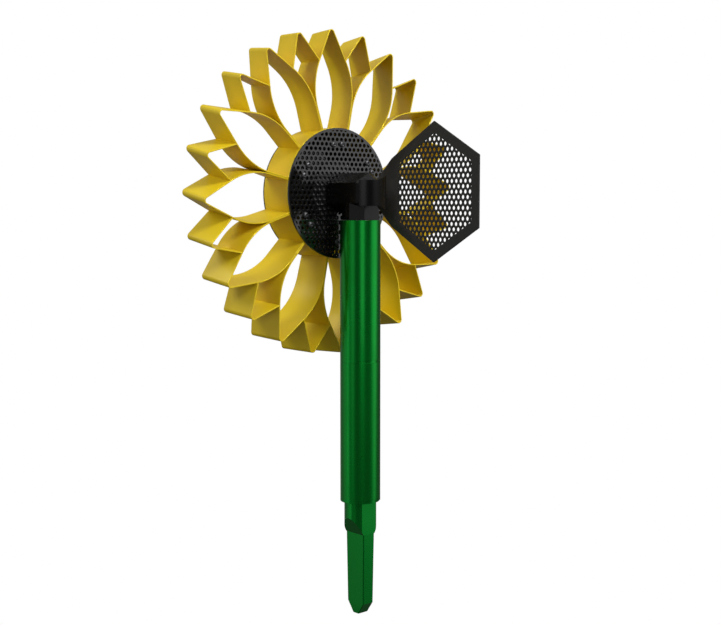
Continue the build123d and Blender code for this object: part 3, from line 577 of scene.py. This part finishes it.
def finish_mesh(name: str, mesh: bpy.types.Mesh, crease: float) -> bpy.types.Object:
    """Welds a mesh, turns its faces outward, shades it by its larger faces and links it.

    Args:
        name: the piece's name.
        mesh: its mesh.
        crease: the angle in degrees over which an edge stays sharp.

    Returns:
        The new object.
    """
    work = bmesh.new()
    work.from_mesh(mesh)
    bmesh.ops.remove_doubles(work, verts=work.verts, dist=1e-6)
    bmesh.ops.recalc_face_normals(work, faces=work.faces)
    work.to_mesh(mesh)
    work.free()
    mesh.polygons.foreach_set("use_smooth", [True] * len(mesh.polygons))
    mesh.set_sharp_from_angle(angle=math.radians(crease))
    made = bpy.data.objects.new(name, mesh)
    bpy.context.scene.collection.objects.link(made)
    weigh = made.modifiers.new("weigh", "WEIGHTED_NORMAL")
    weigh.keep_sharp = True
    weigh.weight = 80
    graph = bpy.context.evaluated_depsgraph_get()
    settled = bpy.data.meshes.new_from_object(made.evaluated_get(graph), depsgraph=graph)
    made.modifiers.clear()
    made.data = settled
    settled.name = name
    return made


def eased_copy(node: str, ease: float, steps: int = 2, crease: float = 25.0) -> bpy.types.Object:
    """A piece in the shape of a CAD node, with its sharp edges rounded and marked for rub wear and painted edge
    shading.

    Args:
        node: the CAD node's name.
        ease: the rounding's size in metres.
        steps: how many faces the rounding has across.
        crease: the angle in degrees over which an edge is rounded.

    Returns:
        The new piece.
    """
    work = bmesh.new()
    work.from_mesh(frame["nodes"][node].data)
    bmesh.ops.remove_doubles(work, verts=work.verts, dist=2e-6)
    bmesh.ops.dissolve_limit(work, angle_limit=math.radians(0.3), verts=work.verts, edges=work.edges)
    limit = math.radians(crease)
    sharp = [edge for edge in work.edges if len(edge.link_faces) == 2 and edge.calc_face_angle(0.0) > limit]
    layer = work.loops.layers.float.new(EDGE_ATTRIBUTE)
    rounded = bmesh.ops.bevel(
        work, geom=sharp, offset=ease, offset_type="OFFSET", segments=steps, profile=0.5,
        affect="EDGES", clamp_overlap=True,
    )
    for face in rounded["faces"]:
        for loop in face.loops:
            loop[layer] = 1.0
    mesh = bpy.data.meshes.new(node + "_shape")
    work.to_mesh(mesh)
    work.free()
    return finish_mesh(node + "_shape", mesh, 40.0)


def offset_loop(loop: Sequence[Point2], distance: float) -> list[Point2]:
    """Moves a counter-clockwise loop's edges outward by a distance, or inward if it is negative."""
    moved = []
    count = len(loop)
    for index, (x, y) in enumerate(loop):
        before = Vector((x - loop[index - 1][0], y - loop[index - 1][1])).normalized()
        after = Vector((loop[(index + 1) % count][0] - x, loop[(index + 1) % count][1] - y)).normalized()
        normal = Vector((before.y + after.y, -before.x - after.x))
        share = distance * 2 / max(normal.length_squared, 0.5)
        moved.append((x + normal.x * share, y + normal.y * share))
    return moved


def circle(radius: float, count: int, centre: Point2 = (0.0, 0.0)) -> list[Point2]:
    """Points round a circle, counter-clockwise."""
    turns = [2 * math.pi * index / count for index in range(count)]
    return [(centre[0] + radius * math.cos(turn), centre[1] + radius * math.sin(turn)) for turn in turns]


def arc(centre: Point2, radius: float, start: float, end: float, count: int) -> list[Point2]:
    """Points along an arc, both ends included, with angles in degrees."""
    turns = [math.radians(start + (end - start) * index / (count - 1)) for index in range(count)]
    return [(centre[0] + radius * math.cos(turn), centre[1] + radius * math.sin(turn)) for turn in turns]


def straight(first: Point2, last: Point2, count: int) -> list[Point2]:
    """Points along a line, without its ends."""
    shares = [index / (count + 1) for index in range(1, count + 1)]
    return [(first[0] + (last[0] - first[0]) * s, first[1] + (last[1] - first[1]) * s) for s in shares]


def crossing(start: Point2, along: Point2, other: Point2, other_along: Point2) -> Point2:
    """Where two lines cross, each given by a point and a direction."""
    cross = along[0] * other_along[1] - along[1] * other_along[0]
    gap = (other[0] - start[0], other[1] - start[1])
    share = (gap[0] * other_along[1] - gap[1] * other_along[0]) / cross
    return (start[0] + along[0] * share, start[1] + along[1] * share)


def turned(point: Point2, degrees: float) -> Point2:
    """A point turned counter-clockwise about the origin."""
    turn = math.radians(degrees)
    return (
        point[0] * math.cos(turn) - point[1] * math.sin(turn),
        point[0] * math.sin(turn) + point[1] * math.cos(turn),
    )


def clip(polygon: list[Point2], normal: Point2, limit: float) -> list[Point2]:
    """The part of a convex polygon on the near side of a line.

    Args:
        polygon: the polygon's points.
        normal: the line's unit normal.
        limit: how far along the normal the line lies.

    Returns:
        The clipped polygon, empty if nothing is left.
    """
    kept = []
    for index, point in enumerate(polygon):
        before = polygon[index - 1]
        here = point[0] * normal[0] + point[1] * normal[1] - limit
        there = before[0] * normal[0] + before[1] * normal[1] - limit
        if (here > 0) != (there > 0):
            share = there / (there - here)
            along = before[0] + (point[0] - before[0]) * share
            across = before[1] + (point[1] - before[1]) * share
            kept.append((along, across))
        if here <= 0:
            kept.append(point)
    return kept


def area(polygon: Sequence[Point2]) -> float:
    """The signed area of a polygon, positive if it runs counter-clockwise."""
    return sum(
        polygon[index - 1][0] * point[1] - point[0] * polygon[index - 1][1]
        for index, point in enumerate(polygon)
    ) / 2


@dataclass
class Perforation:
    """A triangular lattice of round holes with level rows."""

    pitch: float = 7.0 * MM
    diameter: float = 4.8 * MM
    sides: int = 20
    smallest: float = 0.35 * MM * MM

    def holes(self, reach: float, cut: Callable[[list[Point2]], list[Point2]]) -> list[list[Point2]]:
        """The holes within a region.

        Args:
            reach: how far out the lattice goes.
            cut: takes a hole's outline and gives back the part inside the region.

        Returns:
            The outlines of the holes, whole or clipped.
        """
        row_pitch = self.pitch * math.sqrt(3) / 2
        rows, columns = int(reach / row_pitch), int(reach / self.pitch) + 1
        found = []
        for row in range(-rows, rows + 1):
            for column in range(-columns, columns + 1):
                centre = ((column + row % 2 / 2) * self.pitch, row * row_pitch)
                hole = cut(circle(self.diameter / 2, self.sides, centre))
                if len(hole) > 2 and area(hole) > self.smallest:
                    found.append(hole)
        return found


@dataclass
class Plate:
    """A flat plate with holes and lightly broken edges."""

    outline: list[Point2]
    holes: list[list[Point2]]
    thickness: float
    broken: float = 0.15 * MM

    def piece(self, name: str, place: Callable[[float, float, float], Vector]) -> bpy.types.Object:
        """Makes the plate.

        Args:
            name: the piece's name.
            place: takes two coordinates in the plate and one through it, from its middle.

        Returns:
            The new piece.
        """
        shell = Shell()
        half = self.thickness / 2
        loops = [self.outline, *self.holes]
        eased = [offset_loop(self.outline, -self.broken)]
        eased += [offset_loop(hole, self.broken) for hole in self.holes]
        flat = [point for loop in eased for point in loop]
        owner = [number for number, loop in enumerate(eased) for _ in loop]
        edges, first = [], 0
        for loop in eased:
            edges += [(first + index, first + (index + 1) % len(loop)) for index in range(len(loop))]
            first += len(loop)
        points = [Vector((x / MM, y / MM)) for x, y in flat]
        found = delaunay_2d_cdt(points, edges, [], 1, 1e-6, True)
        corners, triangles, origins = found[0], found[2], found[3]
        owners = [owner[origin[0]] if origin else 0 for origin in origins]
        for side in (half, -half):
            level = shell.ring([place(point.x * MM, point.y * MM, side) for point in corners])
            for triangle in triangles:
                held = {owners[corner] for corner in triangle}
                if len(held) == 1 and held != {0}:
                    continue
                shell.face([level[corner] for corner in triangle])
        for loop, soft in zip(loops, eased):
            depths = [(soft, half), (loop, half - self.broken), (loop, self.broken - half), (soft, -half)]
            rings = [shell.ring([place(x, y, depth) for x, y in ring]) for ring, depth in depths]
            shell.strip(rings[0], rings[1], rubbed_and_shaded=True)
            shell.strip(rings[1], rings[2])
            shell.strip(rings[2], rings[3], rubbed_and_shaded=True)
        return shell.piece(name, crease=32.0)


# ------------------------------------------------------------------ dressing


class Workshop:
    """Keeps the finishes and dresses and fits the pieces."""

    def __init__(self) -> None:
        """Builds every material once."""
        effects = Effects()
        self.materials = {name: finish.material(effects) for name, finish in FINISHES.items()}
        record = frame["record"]
        self.slots = {part["node"]: part["material_slot"] for part in record["subparts"]}
        bodies = record["behaviour"]["bodies"]
        self.bodies = {node: body for body, nodes in bodies.items() for node in nodes}

    def fit(self, piece: bpy.types.Object, *nodes: str) -> bpy.types.Object:
        """Dresses a piece like the CAD nodes it stands for, and mounts it in their place.

        Args:
            piece: the new piece.
            *nodes: the CAD nodes that it replaces, all on one body and of one finish.

        Returns:
            The piece.
        """
        slot = self.slots[nodes[0]]
        piece.data.materials.clear()
        piece.data.materials.append(self.materials[slot])
        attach(piece, self.bodies[nodes[0]])
        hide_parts(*nodes)
        LOG.info("%s stands for %s in %s", piece.name, ", ".join(nodes), slot)
        return piece

    def dress(self, node: str) -> None:
        """Gives a CAD node that stays as it is its material."""
        mesh = frame["nodes"][node].data
        mesh.materials.clear()
        mesh.materials.append(self.materials[self.slots[node]])
        LOG.info("%s keeps its shape, in %s", node, self.slots[node])


def shaft_height() -> float:
    """The height of the flower's shaft."""
    return next(joint["pos_m"][2] for joint in frame["joints"] if joint["name"] == "flower_spin")


def seen_from_behind(y: float) -> Callable[[float, float, float], Vector]:
    """Places points of a plane square to the shaft, as seen from the tail."""
    height = shaft_height()
    return lambda across, up, toward: Vector((-across, y + toward, height + up))


# ------------------------------------------------------------------ the flower


@dataclass
class Strip:
    """A flat strip bent on edge along an outline and wound a little from front to rear."""

    outer: list[Point2]
    inner: list[Point2]
    front: float
    rear: float
    twist: float
    closed: bool
    thickness: float
    ease: float = 0.3 * MM

    def section(self) -> list[Point2]:
        """The strip's rounded section, as shares of its thickness and of its width."""
        width = self.rear - self.front
        near, far = self.ease, width - self.ease
        left, right = self.ease, self.thickness - self.ease
        loop = arc((left, near), self.ease, 270.0, 180.0, 4)
        loop += straight((0.0, near), (0.0, far), 1)
        loop += arc((left, far), self.ease, 180.0, 90.0, 4)
        loop += arc((right, far), self.ease, 90.0, 0.0, 4)
        loop += straight((self.thickness, far), (self.thickness, near), 1)
        loop += arc((right, near), self.ease, 0.0, -90.0, 4)
        return [(across / self.thickness, along / width) for across, along in loop]

    def piece(self, name: str, turn: float) -> bpy.types.Object:
        """Makes the strip.

        Args:
            name: the piece's name.
            turn: how far it is turned about the shaft at its front edge, in degrees.

        Returns:
            The new piece.
        """
        shell = Shell()
        height = shaft_height()
        profile = self.section()
        rings = []
        for outside, inside in zip(self.outer, self.inner):
            ring = []
            for across, along in profile:
                spot = (
                    outside[0] + (inside[0] - outside[0]) * across,
                    outside[1] + (inside[1] - outside[1]) * across,
                )
                x, z = turned(spot, turn + self.twist * along)
                ring.append(Vector((-x, self.front + (self.rear - self.front) * along, height + z)))
            rings.append(shell.ring(ring))
        spans = list(zip(rings, rings[1:]))
        if self.closed:
            spans.append((rings[-1], rings[0]))
        count = len(profile)
        for first, second in spans:
            for index in range(count):
                after = (index + 1) % count
                step = (profile[after][0] - profile[index][0], profile[after][1] - profile[index][1])
                rounded = min(abs(step[0]), abs(step[1])) > 1e-6
                shell.face((first[index], first[after], second[after], second[index]), rounded)
        if not self.closed:
            shell.face(rings[0])
            shell.face(rings[-1][::-1])
        return shell.piece(name)


@dataclass
class Petals:
    """Twelve petals, which also form the ring between the discs, and the leaves between them."""

    workshop: Workshop
    count: int = 12
    tip_radius: float = 202.38 * MM
    tip_half_angle: float = 26.4
    tip_round: float = 4.8 * MM
    shoulder_radius: float = 82.7 * MM
    base_radius: float = 80.0 * MM
    thickness: float = 1.5 * MM
    gap: float = 0.3 * MM
    twist: float = 2.85
    leaf_tip_radius: float = 202.3 * MM
    leaf_tip_round: float = 4.6 * MM
    leaf_half_angle: float = 27.2

    def tip_corner(self) -> float:
        """Where a petal's flanks would meet without the rounding."""
        return self.tip_radius + self.tip_round * (1 / math.sin(math.radians(self.tip_half_angle)) - 1)

    def petal_side(self, inset: float) -> list[Point2]:
        """The outline of a petal's upper half, from its heel's middle to its tip.

        Args:
            inset: how far the outline is drawn in from the petal's full wedge.

        Returns:
            The points, heel first.
        """
        wedge = math.radians(180 / self.count)
        angle = math.radians(self.tip_half_angle)
        radial = (math.cos(wedge), math.sin(wedge))
        flank = (math.cos(angle), -math.sin(angle))
        side_start = (inset * math.sin(wedge), -inset * math.cos(wedge))
        tip = (self.tip_corner() - inset / math.sin(angle), 0.0)
        corner = crossing(side_start, radial, tip, flank)
        radius = self.shoulder_radius - inset
        reach = radius * math.tan((wedge + angle) / 2)
        heel_radius = self.base_radius + inset
        run = math.sqrt(heel_radius**2 - inset**2)
        heel = (side_start[0] + radial[0] * run, side_start[1] + radial[1] * run)
        heel_angle = math.degrees(math.atan2(heel[1], heel[0]))
        bend_start = (corner[0] - radial[0] * reach, corner[1] - radial[1] * reach)
        centre = (bend_start[0] + math.sin(wedge) * radius, bend_start[1] - math.cos(wedge) * radius)
        bend = arc(centre, radius, 90 + math.degrees(wedge), 90 - self.tip_half_angle, 18)
        nose = self.tip_round + self.gap / 2 - inset
        nose_centre = (tip[0] - nose / math.sin(angle), 0.0)
        point = arc(nose_centre, nose, 90 - self.tip_half_angle, 0.0, 8)
        heel_arc = arc((0.0, 0.0), heel_radius, 0.0, heel_angle, 6)
        return (
            heel_arc
            + straight(heel, bend_start, 3)
            + bend
            + straight(bend[-1], point[0], 5)
            + point
        )

    def petal_loop(self, inset: float) -> list[Point2]:
        """The whole outline of a petal, both halves."""
        upper = self.petal_side(inset)
        lower = [(x, -y) for x, y in reversed(upper[1:-1])]
        return upper + lower

    def leaf_path(self, inset: float) -> list[Point2]:
        """A leaf's outline from one petal's flank round its tip to the other's."""
        angle = math.radians(self.leaf_half_angle)
        rounding = self.leaf_tip_round * (1 / math.sin(angle) - 1)
        corner = self.leaf_tip_radius + rounding - inset / math.sin(angle)
        leg = (-math.cos(angle), math.sin(angle))
        wedge = 180 / self.count
        slope = math.radians(self.tip_half_angle)
        petal_tip = (self.tip_corner() - self.gap / 2 / math.sin(slope), 0.0)
        petal_flank = (math.cos(slope), math.sin(slope))
        end = crossing((corner, 0.0), leg, turned(petal_tip, wedge), turned(petal_flank, wedge))
        nose = self.leaf_tip_round - inset
        nose_centre = (corner - nose / math.sin(angle), 0.0)
        point = arc(nose_centre, nose, 90 - self.leaf_half_angle, 0.0, 8)
        upper = [end] + straight(end, point[0], 5) + point
        return upper + [(x, -y) for x, y in reversed(upper[:-1])]

    def build(self) -> None:
        """Makes and fits the petals and the leaves."""
        low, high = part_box("petal_01")
        shared = {"front": low.y, "rear": high.y, "twist": self.twist, "thickness": self.thickness}
        first, second = self.gap / 2, self.gap / 2 + self.thickness
        petal = Strip(self.petal_loop(first), self.petal_loop(second), closed=True, **shared)
        leaf = Strip(self.leaf_path(0.0), self.leaf_path(self.thickness), closed=False, **shared)
        pitch = 360 / self.count
        for index in range(self.count):
            number = f"{index + 1:02d}"
            self.workshop.fit(petal.piece(f"petal_strip_{number}", index * pitch), f"petal_{number}")
            turn = (index + 0.5) * pitch
            self.workshop.fit(leaf.piece(f"leaf_strip_{number}", turn), f"leaf_{number}")


@dataclass
class Discs:
    """The perforated rear disc, the plain front disc, their screws, and the hub between them."""

    workshop: Workshop
    perforation: Perforation = field(default_factory=Perforation)
    radius: float = 81.25 * MM
    rim: float = 2.75 * MM
    inner: float = 12.5 * MM
    shaft_radius: float = 4.0 * MM
    seat_border: float = 0.4 * MM
    pair_count: int = 6
    pair_radius: float = 60.6 * MM
    pair_spacing: float = 14.0 * MM
    pair_offset: float = 2.85
    head_radius: float = 3.85 * MM
    head_height: float = 2.4 * MM
    lip: float = 0.3 * MM
    socket: float = 2.5 * MM
    socket_depth: float = 1.3 * MM
    socket_border: float = 0.25 * MM
    socket_bevel: float = 0.15 * MM
    socket_cone: float = 0.3 * MM
    shank_share: float = 0.52
    screw_length: float = 12.0 * MM

    def screw_places(self) -> list[Point2]:
        """The screws' centres, seen from behind."""
        places = []
        for index in range(self.pair_count):
            angle = (index + 0.5) * 360 / self.pair_count + self.pair_offset
            for side in (-0.5, 0.5):
                places.append(turned((self.pair_radius, side * self.pair_spacing), angle))
        return places

    def ring_cut(self, hole: list[Point2]) -> list[Point2]:
        """The part of a hole that lies between the plain centre and the rim, clear of the screws.

        Args:
            hole: the whole hole's outline.

        Returns:
            The outline that is left, which is empty where the disc stays plain.
        """
        centre = Vector((sum(x for x, _ in hole) / len(hole), sum(y for _, y in hole) / len(hole)))
        distance = centre.length
        if distance < self.perforation.diameter:
            return []
        outward = centre / distance
        hole = clip(hole, (outward.x, outward.y), self.radius - self.rim)
        hole = clip(hole, (-outward.x, -outward.y), -self.inner) if hole else []
        for place in self.screw_places():
            away = Vector(place) - centre
            if hole and away.length < self.perforation.diameter + self.head_radius:
                toward = away.normalized()
                limit = toward.dot(Vector(place)) - self.head_radius - self.seat_border
                hole = clip(hole, (toward.x, toward.y), limit)
        return hole

    def disc(self, node: str, pattern: list[list[Point2]]) -> None:
        """Makes and fits one disc.

        Args:
            node: the CAD node that it stands for.
            pattern: the holes through it, besides the shaft's.
        """
        low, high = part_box(node)
        holes = [*pattern, circle(self.shaft_radius, 32)]
        plate = Plate(circle(self.radius, 160), holes, high.y - low.y)
        piece = plate.piece(node + "_plate", seen_from_behind((low.y + high.y) / 2))
        self.workshop.fit(piece, node)

    def screws(self, node: str, seat: float, facing: float) -> None:
        """Makes and fits one disc's dome-headed screws with hexagon sockets.

        Args:
            node: the CAD node that they stand for.
            seat: where the heads rest, along the shaft.
            facing: 1 for heads toward the tail, -1 for heads toward the front.
        """
        shell = Shell()
        count = 36
        place = seen_from_behind(seat)
        dome = []
        for index in range(7):
            turn = math.radians(index * 60 / 6)
            rise = math.sin(turn) / math.sin(math.radians(60))
            dome.append((self.head_radius * math.cos(turn), self.lip + (self.head_height - self.lip) * rise))
        lip = self.socket / math.sqrt(3) + self.socket_border
        for centre in self.screw_places():
            def spot(point: Point2, depth: float, centre: Point2 = centre) -> Vector:
                """A point of the screw in the row frame."""
                return place(centre[0] + point[0], centre[1] + point[1], depth * facing)

            shank = circle(self.head_radius * self.shank_share, count)
            levels = [(shank, -self.screw_length), (shank, 0.0), (circle(self.head_radius, count), 0.0)]
            levels += [(circle(radius, count), depth) for radius, depth in dome]
            levels += [(circle(lip, count), self.head_height)]
            hexagon = self.hexagon(self.socket / 2, count)
            levels += [
                (hexagon, self.head_height - self.socket_bevel),
                (hexagon, self.head_height - self.socket_depth),
            ]
            rings = [shell.ring([spot(point, depth) for point in loop]) for loop, depth in levels]
            for first, second in zip(rings, rings[1:]):
                shell.strip(first, second)
            shell.face(rings[0])
            bottom = self.head_height - self.socket_depth - self.socket_cone
            middle = shell.ring([spot((0.0, 0.0), bottom)])[0]
            for index in range(count):
                shell.face((rings[-1][index], rings[-1][(index + 1) % count], middle))
        self.workshop.fit(shell.piece(node + "_heads", crease=30.0), node)

    @staticmethod
    def hexagon(flat: float, count: int) -> list[Point2]:
        """Points evenly round a hexagon, given half its width across the flats."""
        points = []
        for index in range(count):
            turn = 2 * math.pi * index / count
            off = (turn + math.pi / 6) % (math.pi / 3) - math.pi / 6
            radius = flat / math.cos(off)
            points.append((radius * math.cos(turn), radius * math.sin(turn)))
        return points

    def build(self) -> None:
        """Makes and fits the discs, the screws and what lies between the discs."""
        self.disc("rear_disc", self.perforation.holes(self.radius, self.ring_cut))
        self.disc("front_disc", [])
        self.screws("rear_disc_screws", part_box("rear_disc")[1].y, 1.0)
        self.screws("front_disc_screws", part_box("front_disc")[0].y, -1.0)
        eases = {"rotor_hub": 0.4, "spacer_blocks": 0.4, "shaft_nut": 0.3, "shaft_washer": 0.2}
        for node, ease in eases.items():
            self.workshop.fit(eased_copy(node, ease * MM), node)
        self.workshop.dress("rotor_shaft")
        self.workshop.dress("shaft_spacer")


# ------------------------------------------------------------------ head and tail


@dataclass
class Head:
    """The hexagonal head on its yaw shaft, with the tail boom and the perforated vane."""

    workshop: Workshop
    perforation: Perforation = field(default_factory=Perforation)
    vane_side: float = 81.0 * MM
    border: float = 11.3 * MM
    root_radius: float = 25.0 * MM
    boom_half_height: float = 15.5 * MM

    def vane_cut(self, hole: list[Point2]) -> list[Point2]:
        """The part of a hole inside the vane's plain border."""
        limit = self.vane_side * math.sqrt(3) / 2 - self.border
        for index in range(6):
            if hole:
                turn = math.radians(index * 60)
                hole = clip(hole, (math.cos(turn), math.sin(turn)), limit)
        return hole

    def vane(self) -> None:
        """Makes and fits the vane with its tongue into the boom."""
        low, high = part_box("tail_vane")
        half_width = self.vane_side * math.sqrt(3) / 2
        centre = high.y - half_width
        left = -half_width
        tongue = low.y - centre
        corner = self.vane_side / 2
        start = left - self.root_radius
        lower_root = arc((start, -corner), self.root_radius, 90.0, 0.0, 12)
        upper_root = [(x, -y) for x, y in reversed(lower_root)]
        outline = [
            (tongue, -self.boom_half_height),
            *lower_root,
            (0.0, -self.vane_side),
            (half_width, -corner),
            (half_width, corner),
            (0.0, self.vane_side),
            *upper_root,
            (tongue, self.boom_half_height),
        ]
        holes = self.perforation.holes(self.vane_side, self.vane_cut)
        plate = Plate(outline, holes, high.x - low.x, broken=0.2 * MM)
        height = shaft_height()

        def place(along: float, up: float, out: float) -> Vector:
            """A point of the vane in the row frame."""
            return Vector((out, centre + along, height + up))

        piece = plate.piece("tail_vane_plate", place)
        self.workshop.fit(piece, "tail_vane")

    def build(self) -> None:
        """Makes and fits the head's outer pieces and dresses its inner ones."""
        self.workshop.fit(eased_copy("head_housing", 0.5 * MM), "head_housing")
        self.workshop.fit(eased_copy("tail_boom", 0.5 * MM), "tail_boom")
        self.vane()
        self.workshop.dress("tail_pin")


@dataclass
class InnerWorks:
    """Bearings, generator, yaw shaft and slip ring, which the housings close in."""

    workshop: Workshop

    def build(self) -> None:
        """Rounds the larger pieces' edges and dresses the rest."""
        for node in ("yaw_bearing_housing", "rear_bearing_carrier", "yaw_shaft", "slip_ring_body"):
            self.workshop.fit(eased_copy(node, 0.3 * MM), node)
        kept = (
            "yaw_bearing_outer_races",
            "yaw_bearing_inner_races",
            "yaw_bearing_balls",
            "yaw_housing_ring",
            "yaw_shaft_ring",
            "slip_ring_spindle",
            "shaft_bearing_outer_races",
            "shaft_bearing_inner_races",
            "shaft_bearing_balls",
            "generator_stator",
            "generator_coils",
            "generator_core",
            "generator_magnets",
        )
        for node in kept:
            self.workshop.dress(node)


@dataclass
class Post:
    """The stake and the two post tubes with their joiner."""

    workshop: Workshop

    def build(self) -> None:
        """Makes and fits the post's pieces with rounded edges."""
        sizes = {"ground_stake": 0.8, "lower_post_tube": 0.5, "upper_post_tube": 0.5, "post_joiner": 0.3}
        for node, ease in sizes.items():
            self.workshop.fit(eased_copy(node, ease * MM), node)


# ------------------------------------------------------------------ studio


@dataclass(frozen=True)
class Glow:
    """A soft patch of light on the studio's walls, given as seen from the turbine."""

    azimuth: float
    elevation: float
    inner: float
    outer: float
    strength: float

    def share(self, graph: Graph, where: Socket) -> Socket:
        """How strongly the patch shines from a direction.

        Args:
            graph: the world's graph.
            where: the direction.

        Returns:
            The patch's light.
        """
        turn, lift = math.radians(self.azimuth), math.radians(self.elevation)
        toward = (math.cos(lift) * math.cos(turn), math.cos(lift) * math.sin(turn), math.sin(lift))
        facing = graph.node("ShaderNodeVectorMath", {0: where, 1: toward}, operation="DOT_PRODUCT")
        edge, core = math.cos(math.radians(self.outer)), math.cos(math.radians(self.inner))
        inputs = {0: facing.outputs["Value"], 1: edge, 2: core, 3: 0.0, 4: self.strength}
        return graph.node("ShaderNodeMapRange", inputs, interpolation_type="SMOOTHSTEP").outputs[0]


@dataclass(frozen=True)
class Softbox:
    """A softbox that faces the turbine, either standing upright or tilted toward its shaft."""

    name: str
    azimuth: float
    distance: float
    width: float
    height: float
    level: float
    power: float
    upright: bool = True

    def build(self) -> None:
        """Adds the light."""
        light = bpy.data.lights.new(self.name, "AREA")
        light.shape = "RECTANGLE"
        light.size = self.width
        light.size_y = self.height
        light.energy = self.power
        made = bpy.data.objects.new(self.name, light)
        turn = math.radians(self.azimuth)
        away = Vector((math.cos(turn), math.sin(turn), 0.0))
        made.location = away * self.distance + Vector((0.0, 0.0, self.level))
        toward = -away if self.upright else Vector((0.0, 0.0, shaft_height())) - made.location
        made.rotation_euler = toward.to_track_quat("-Z", "Y").to_euler()
        bpy.context.scene.collection.objects.link(made)


@dataclass
class Studio:
    """The camera, the lights and the white floor."""

    camera_place: Vector = field(default_factory=lambda: Vector((0.9917, 1.0986, 0.3642)))
    camera_aim: Vector = field(default_factory=lambda: Vector((-0.6675, -0.7392, -0.0863)))
    sensor: float = 36.0
    focal: float = 59.88
    floor_radius: float = 40.0
    room: float = 0.09
    glows: tuple[Glow, ...] = (
        Glow(136.0, 14.0, inner=20.0, outer=33.0, strength=0.9),
        Glow(-42.0, 12.0, inner=16.0, outer=42.0, strength=0.4),
        Glow(250.0, 20.0, inner=10.0, outer=60.0, strength=0.15),
        Glow(48.0, 90.0, inner=15.0, outer=50.0, strength=0.8),
        Glow(4.0, 2.0, inner=9.0, outer=16.0, strength=0.6),
    )

    lights: tuple[Softbox, ...] = (
        Softbox(
            "key", azimuth=95.0, distance=2.0, width=1.0, height=0.8, level=1.9, power=46.0, upright=False
        ),
        Softbox(
            "fill", azimuth=-30.0, distance=2.0, width=0.8, height=0.8, level=1.7, power=16.0, upright=False
        ),
        Softbox("strip", azimuth=60.0, distance=2.3, width=0.9, height=1.5, level=0.7, power=4.4),
        Softbox("right_card", azimuth=140.0, distance=1.9, width=0.5, height=2.4, level=-0.1, power=0.5),
        Softbox("left_card", azimuth=-27.0, distance=1.9, width=0.35, height=2.4, level=-0.1, power=1.1),
    )

    def camera(self) -> None:
        """Sets up the camera."""
        data = bpy.data.cameras.new("camera")
        data.sensor_width = self.sensor
        data.lens = self.focal
        data.clip_end = 200.0
        made = bpy.data.objects.new("camera", data)
        made.location = self.camera_place
        made.rotation_euler = self.camera_aim.to_track_quat("-Z", "Y").to_euler()
        bpy.context.scene.collection.objects.link(made)
        bpy.context.scene.camera = made

    def floor(self) -> None:
        """Lays the floor just under the stake's tip, white to the camera and open to other rays."""
        level = CAD_BOX[0][2] - 0.0005
        shell = Shell()
        rim = shell.ring([Vector((x, y, level)) for x, y in circle(self.floor_radius, 96)])
        shell.face(rim)
        piece = shell.piece("floor")
        made = bpy.data.materials.new("floor_paint")
        made.use_nodes = True
        made.node_tree.nodes.clear()
        graph = Graph(made.node_tree)
        white = graph.node("ShaderNodeEmission", {"Strength": 1.0})
        seen = graph.node("ShaderNodeLightPath").outputs["Is Camera Ray"]
        clear = graph.node("ShaderNodeBsdfTransparent")
        whole = graph.node("ShaderNodeMixShader", {0: seen, 1: clear.outputs[0], 2: white.outputs[0]})
        graph.node("ShaderNodeOutputMaterial", {"Surface": whole.outputs[0]})
        piece.data.materials.append(made)
        piece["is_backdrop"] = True

    def world(self) -> None:
        """A bright backdrop for the camera, and a dim room with soft lit walls for the object."""
        world = bpy.data.worlds.new("studio")
        bpy.context.scene.world = world
        world.use_nodes = True
        world.node_tree.nodes.clear()
        graph = Graph(world.node_tree)
        where = graph.node("ShaderNodeTexCoord").outputs["Generated"]
        light: Input = self.room
        for glow in self.glows:
            light = graph.math("ADD", light, glow.share(graph, where))
        seen = graph.node("ShaderNodeBackground", {"Color": (1.0, 1.0, 1.0), "Strength": 1.0})
        room = graph.node("ShaderNodeBackground", {"Color": (1.0, 1.0, 1.0), "Strength": light})
        path = graph.node("ShaderNodeLightPath").outputs["Is Camera Ray"]
        mix = graph.node("ShaderNodeMixShader", {0: path, 1: room.outputs[0], 2: seen.outputs[0]})
        graph.node("ShaderNodeOutputWorld", {"Surface": mix.outputs[0]})

    def build(self) -> None:
        """Builds the whole studio."""
        self.camera()
        self.floor()
        self.world()
        for light in self.lights:
            light.build()
        bpy.context.scene.view_settings.view_transform = "Standard"


def corners(box: Sequence[Sequence[float]]) -> list[list[float]]:
    """A box's two corners as plain lists."""
    return [[float(value) for value in corner] for corner in box]


def main() -> None:
    """Builds the turbine piece by piece, then the studio round it."""
    logging.basicConfig(level=logging.INFO, format="%(name)s: %(message)s")
    workshop = Workshop()
    for assembly in (Post(workshop), Head(workshop), InnerWorks(workshop), Discs(workshop), Petals(workshop)):
        LOG.info("building %s", type(assembly).__name__)
        assembly.build()
    Studio().build()
    {"cad": corners(CAD_BOX), "visual": corners(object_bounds())}


if __name__ == "__main__":
    main()
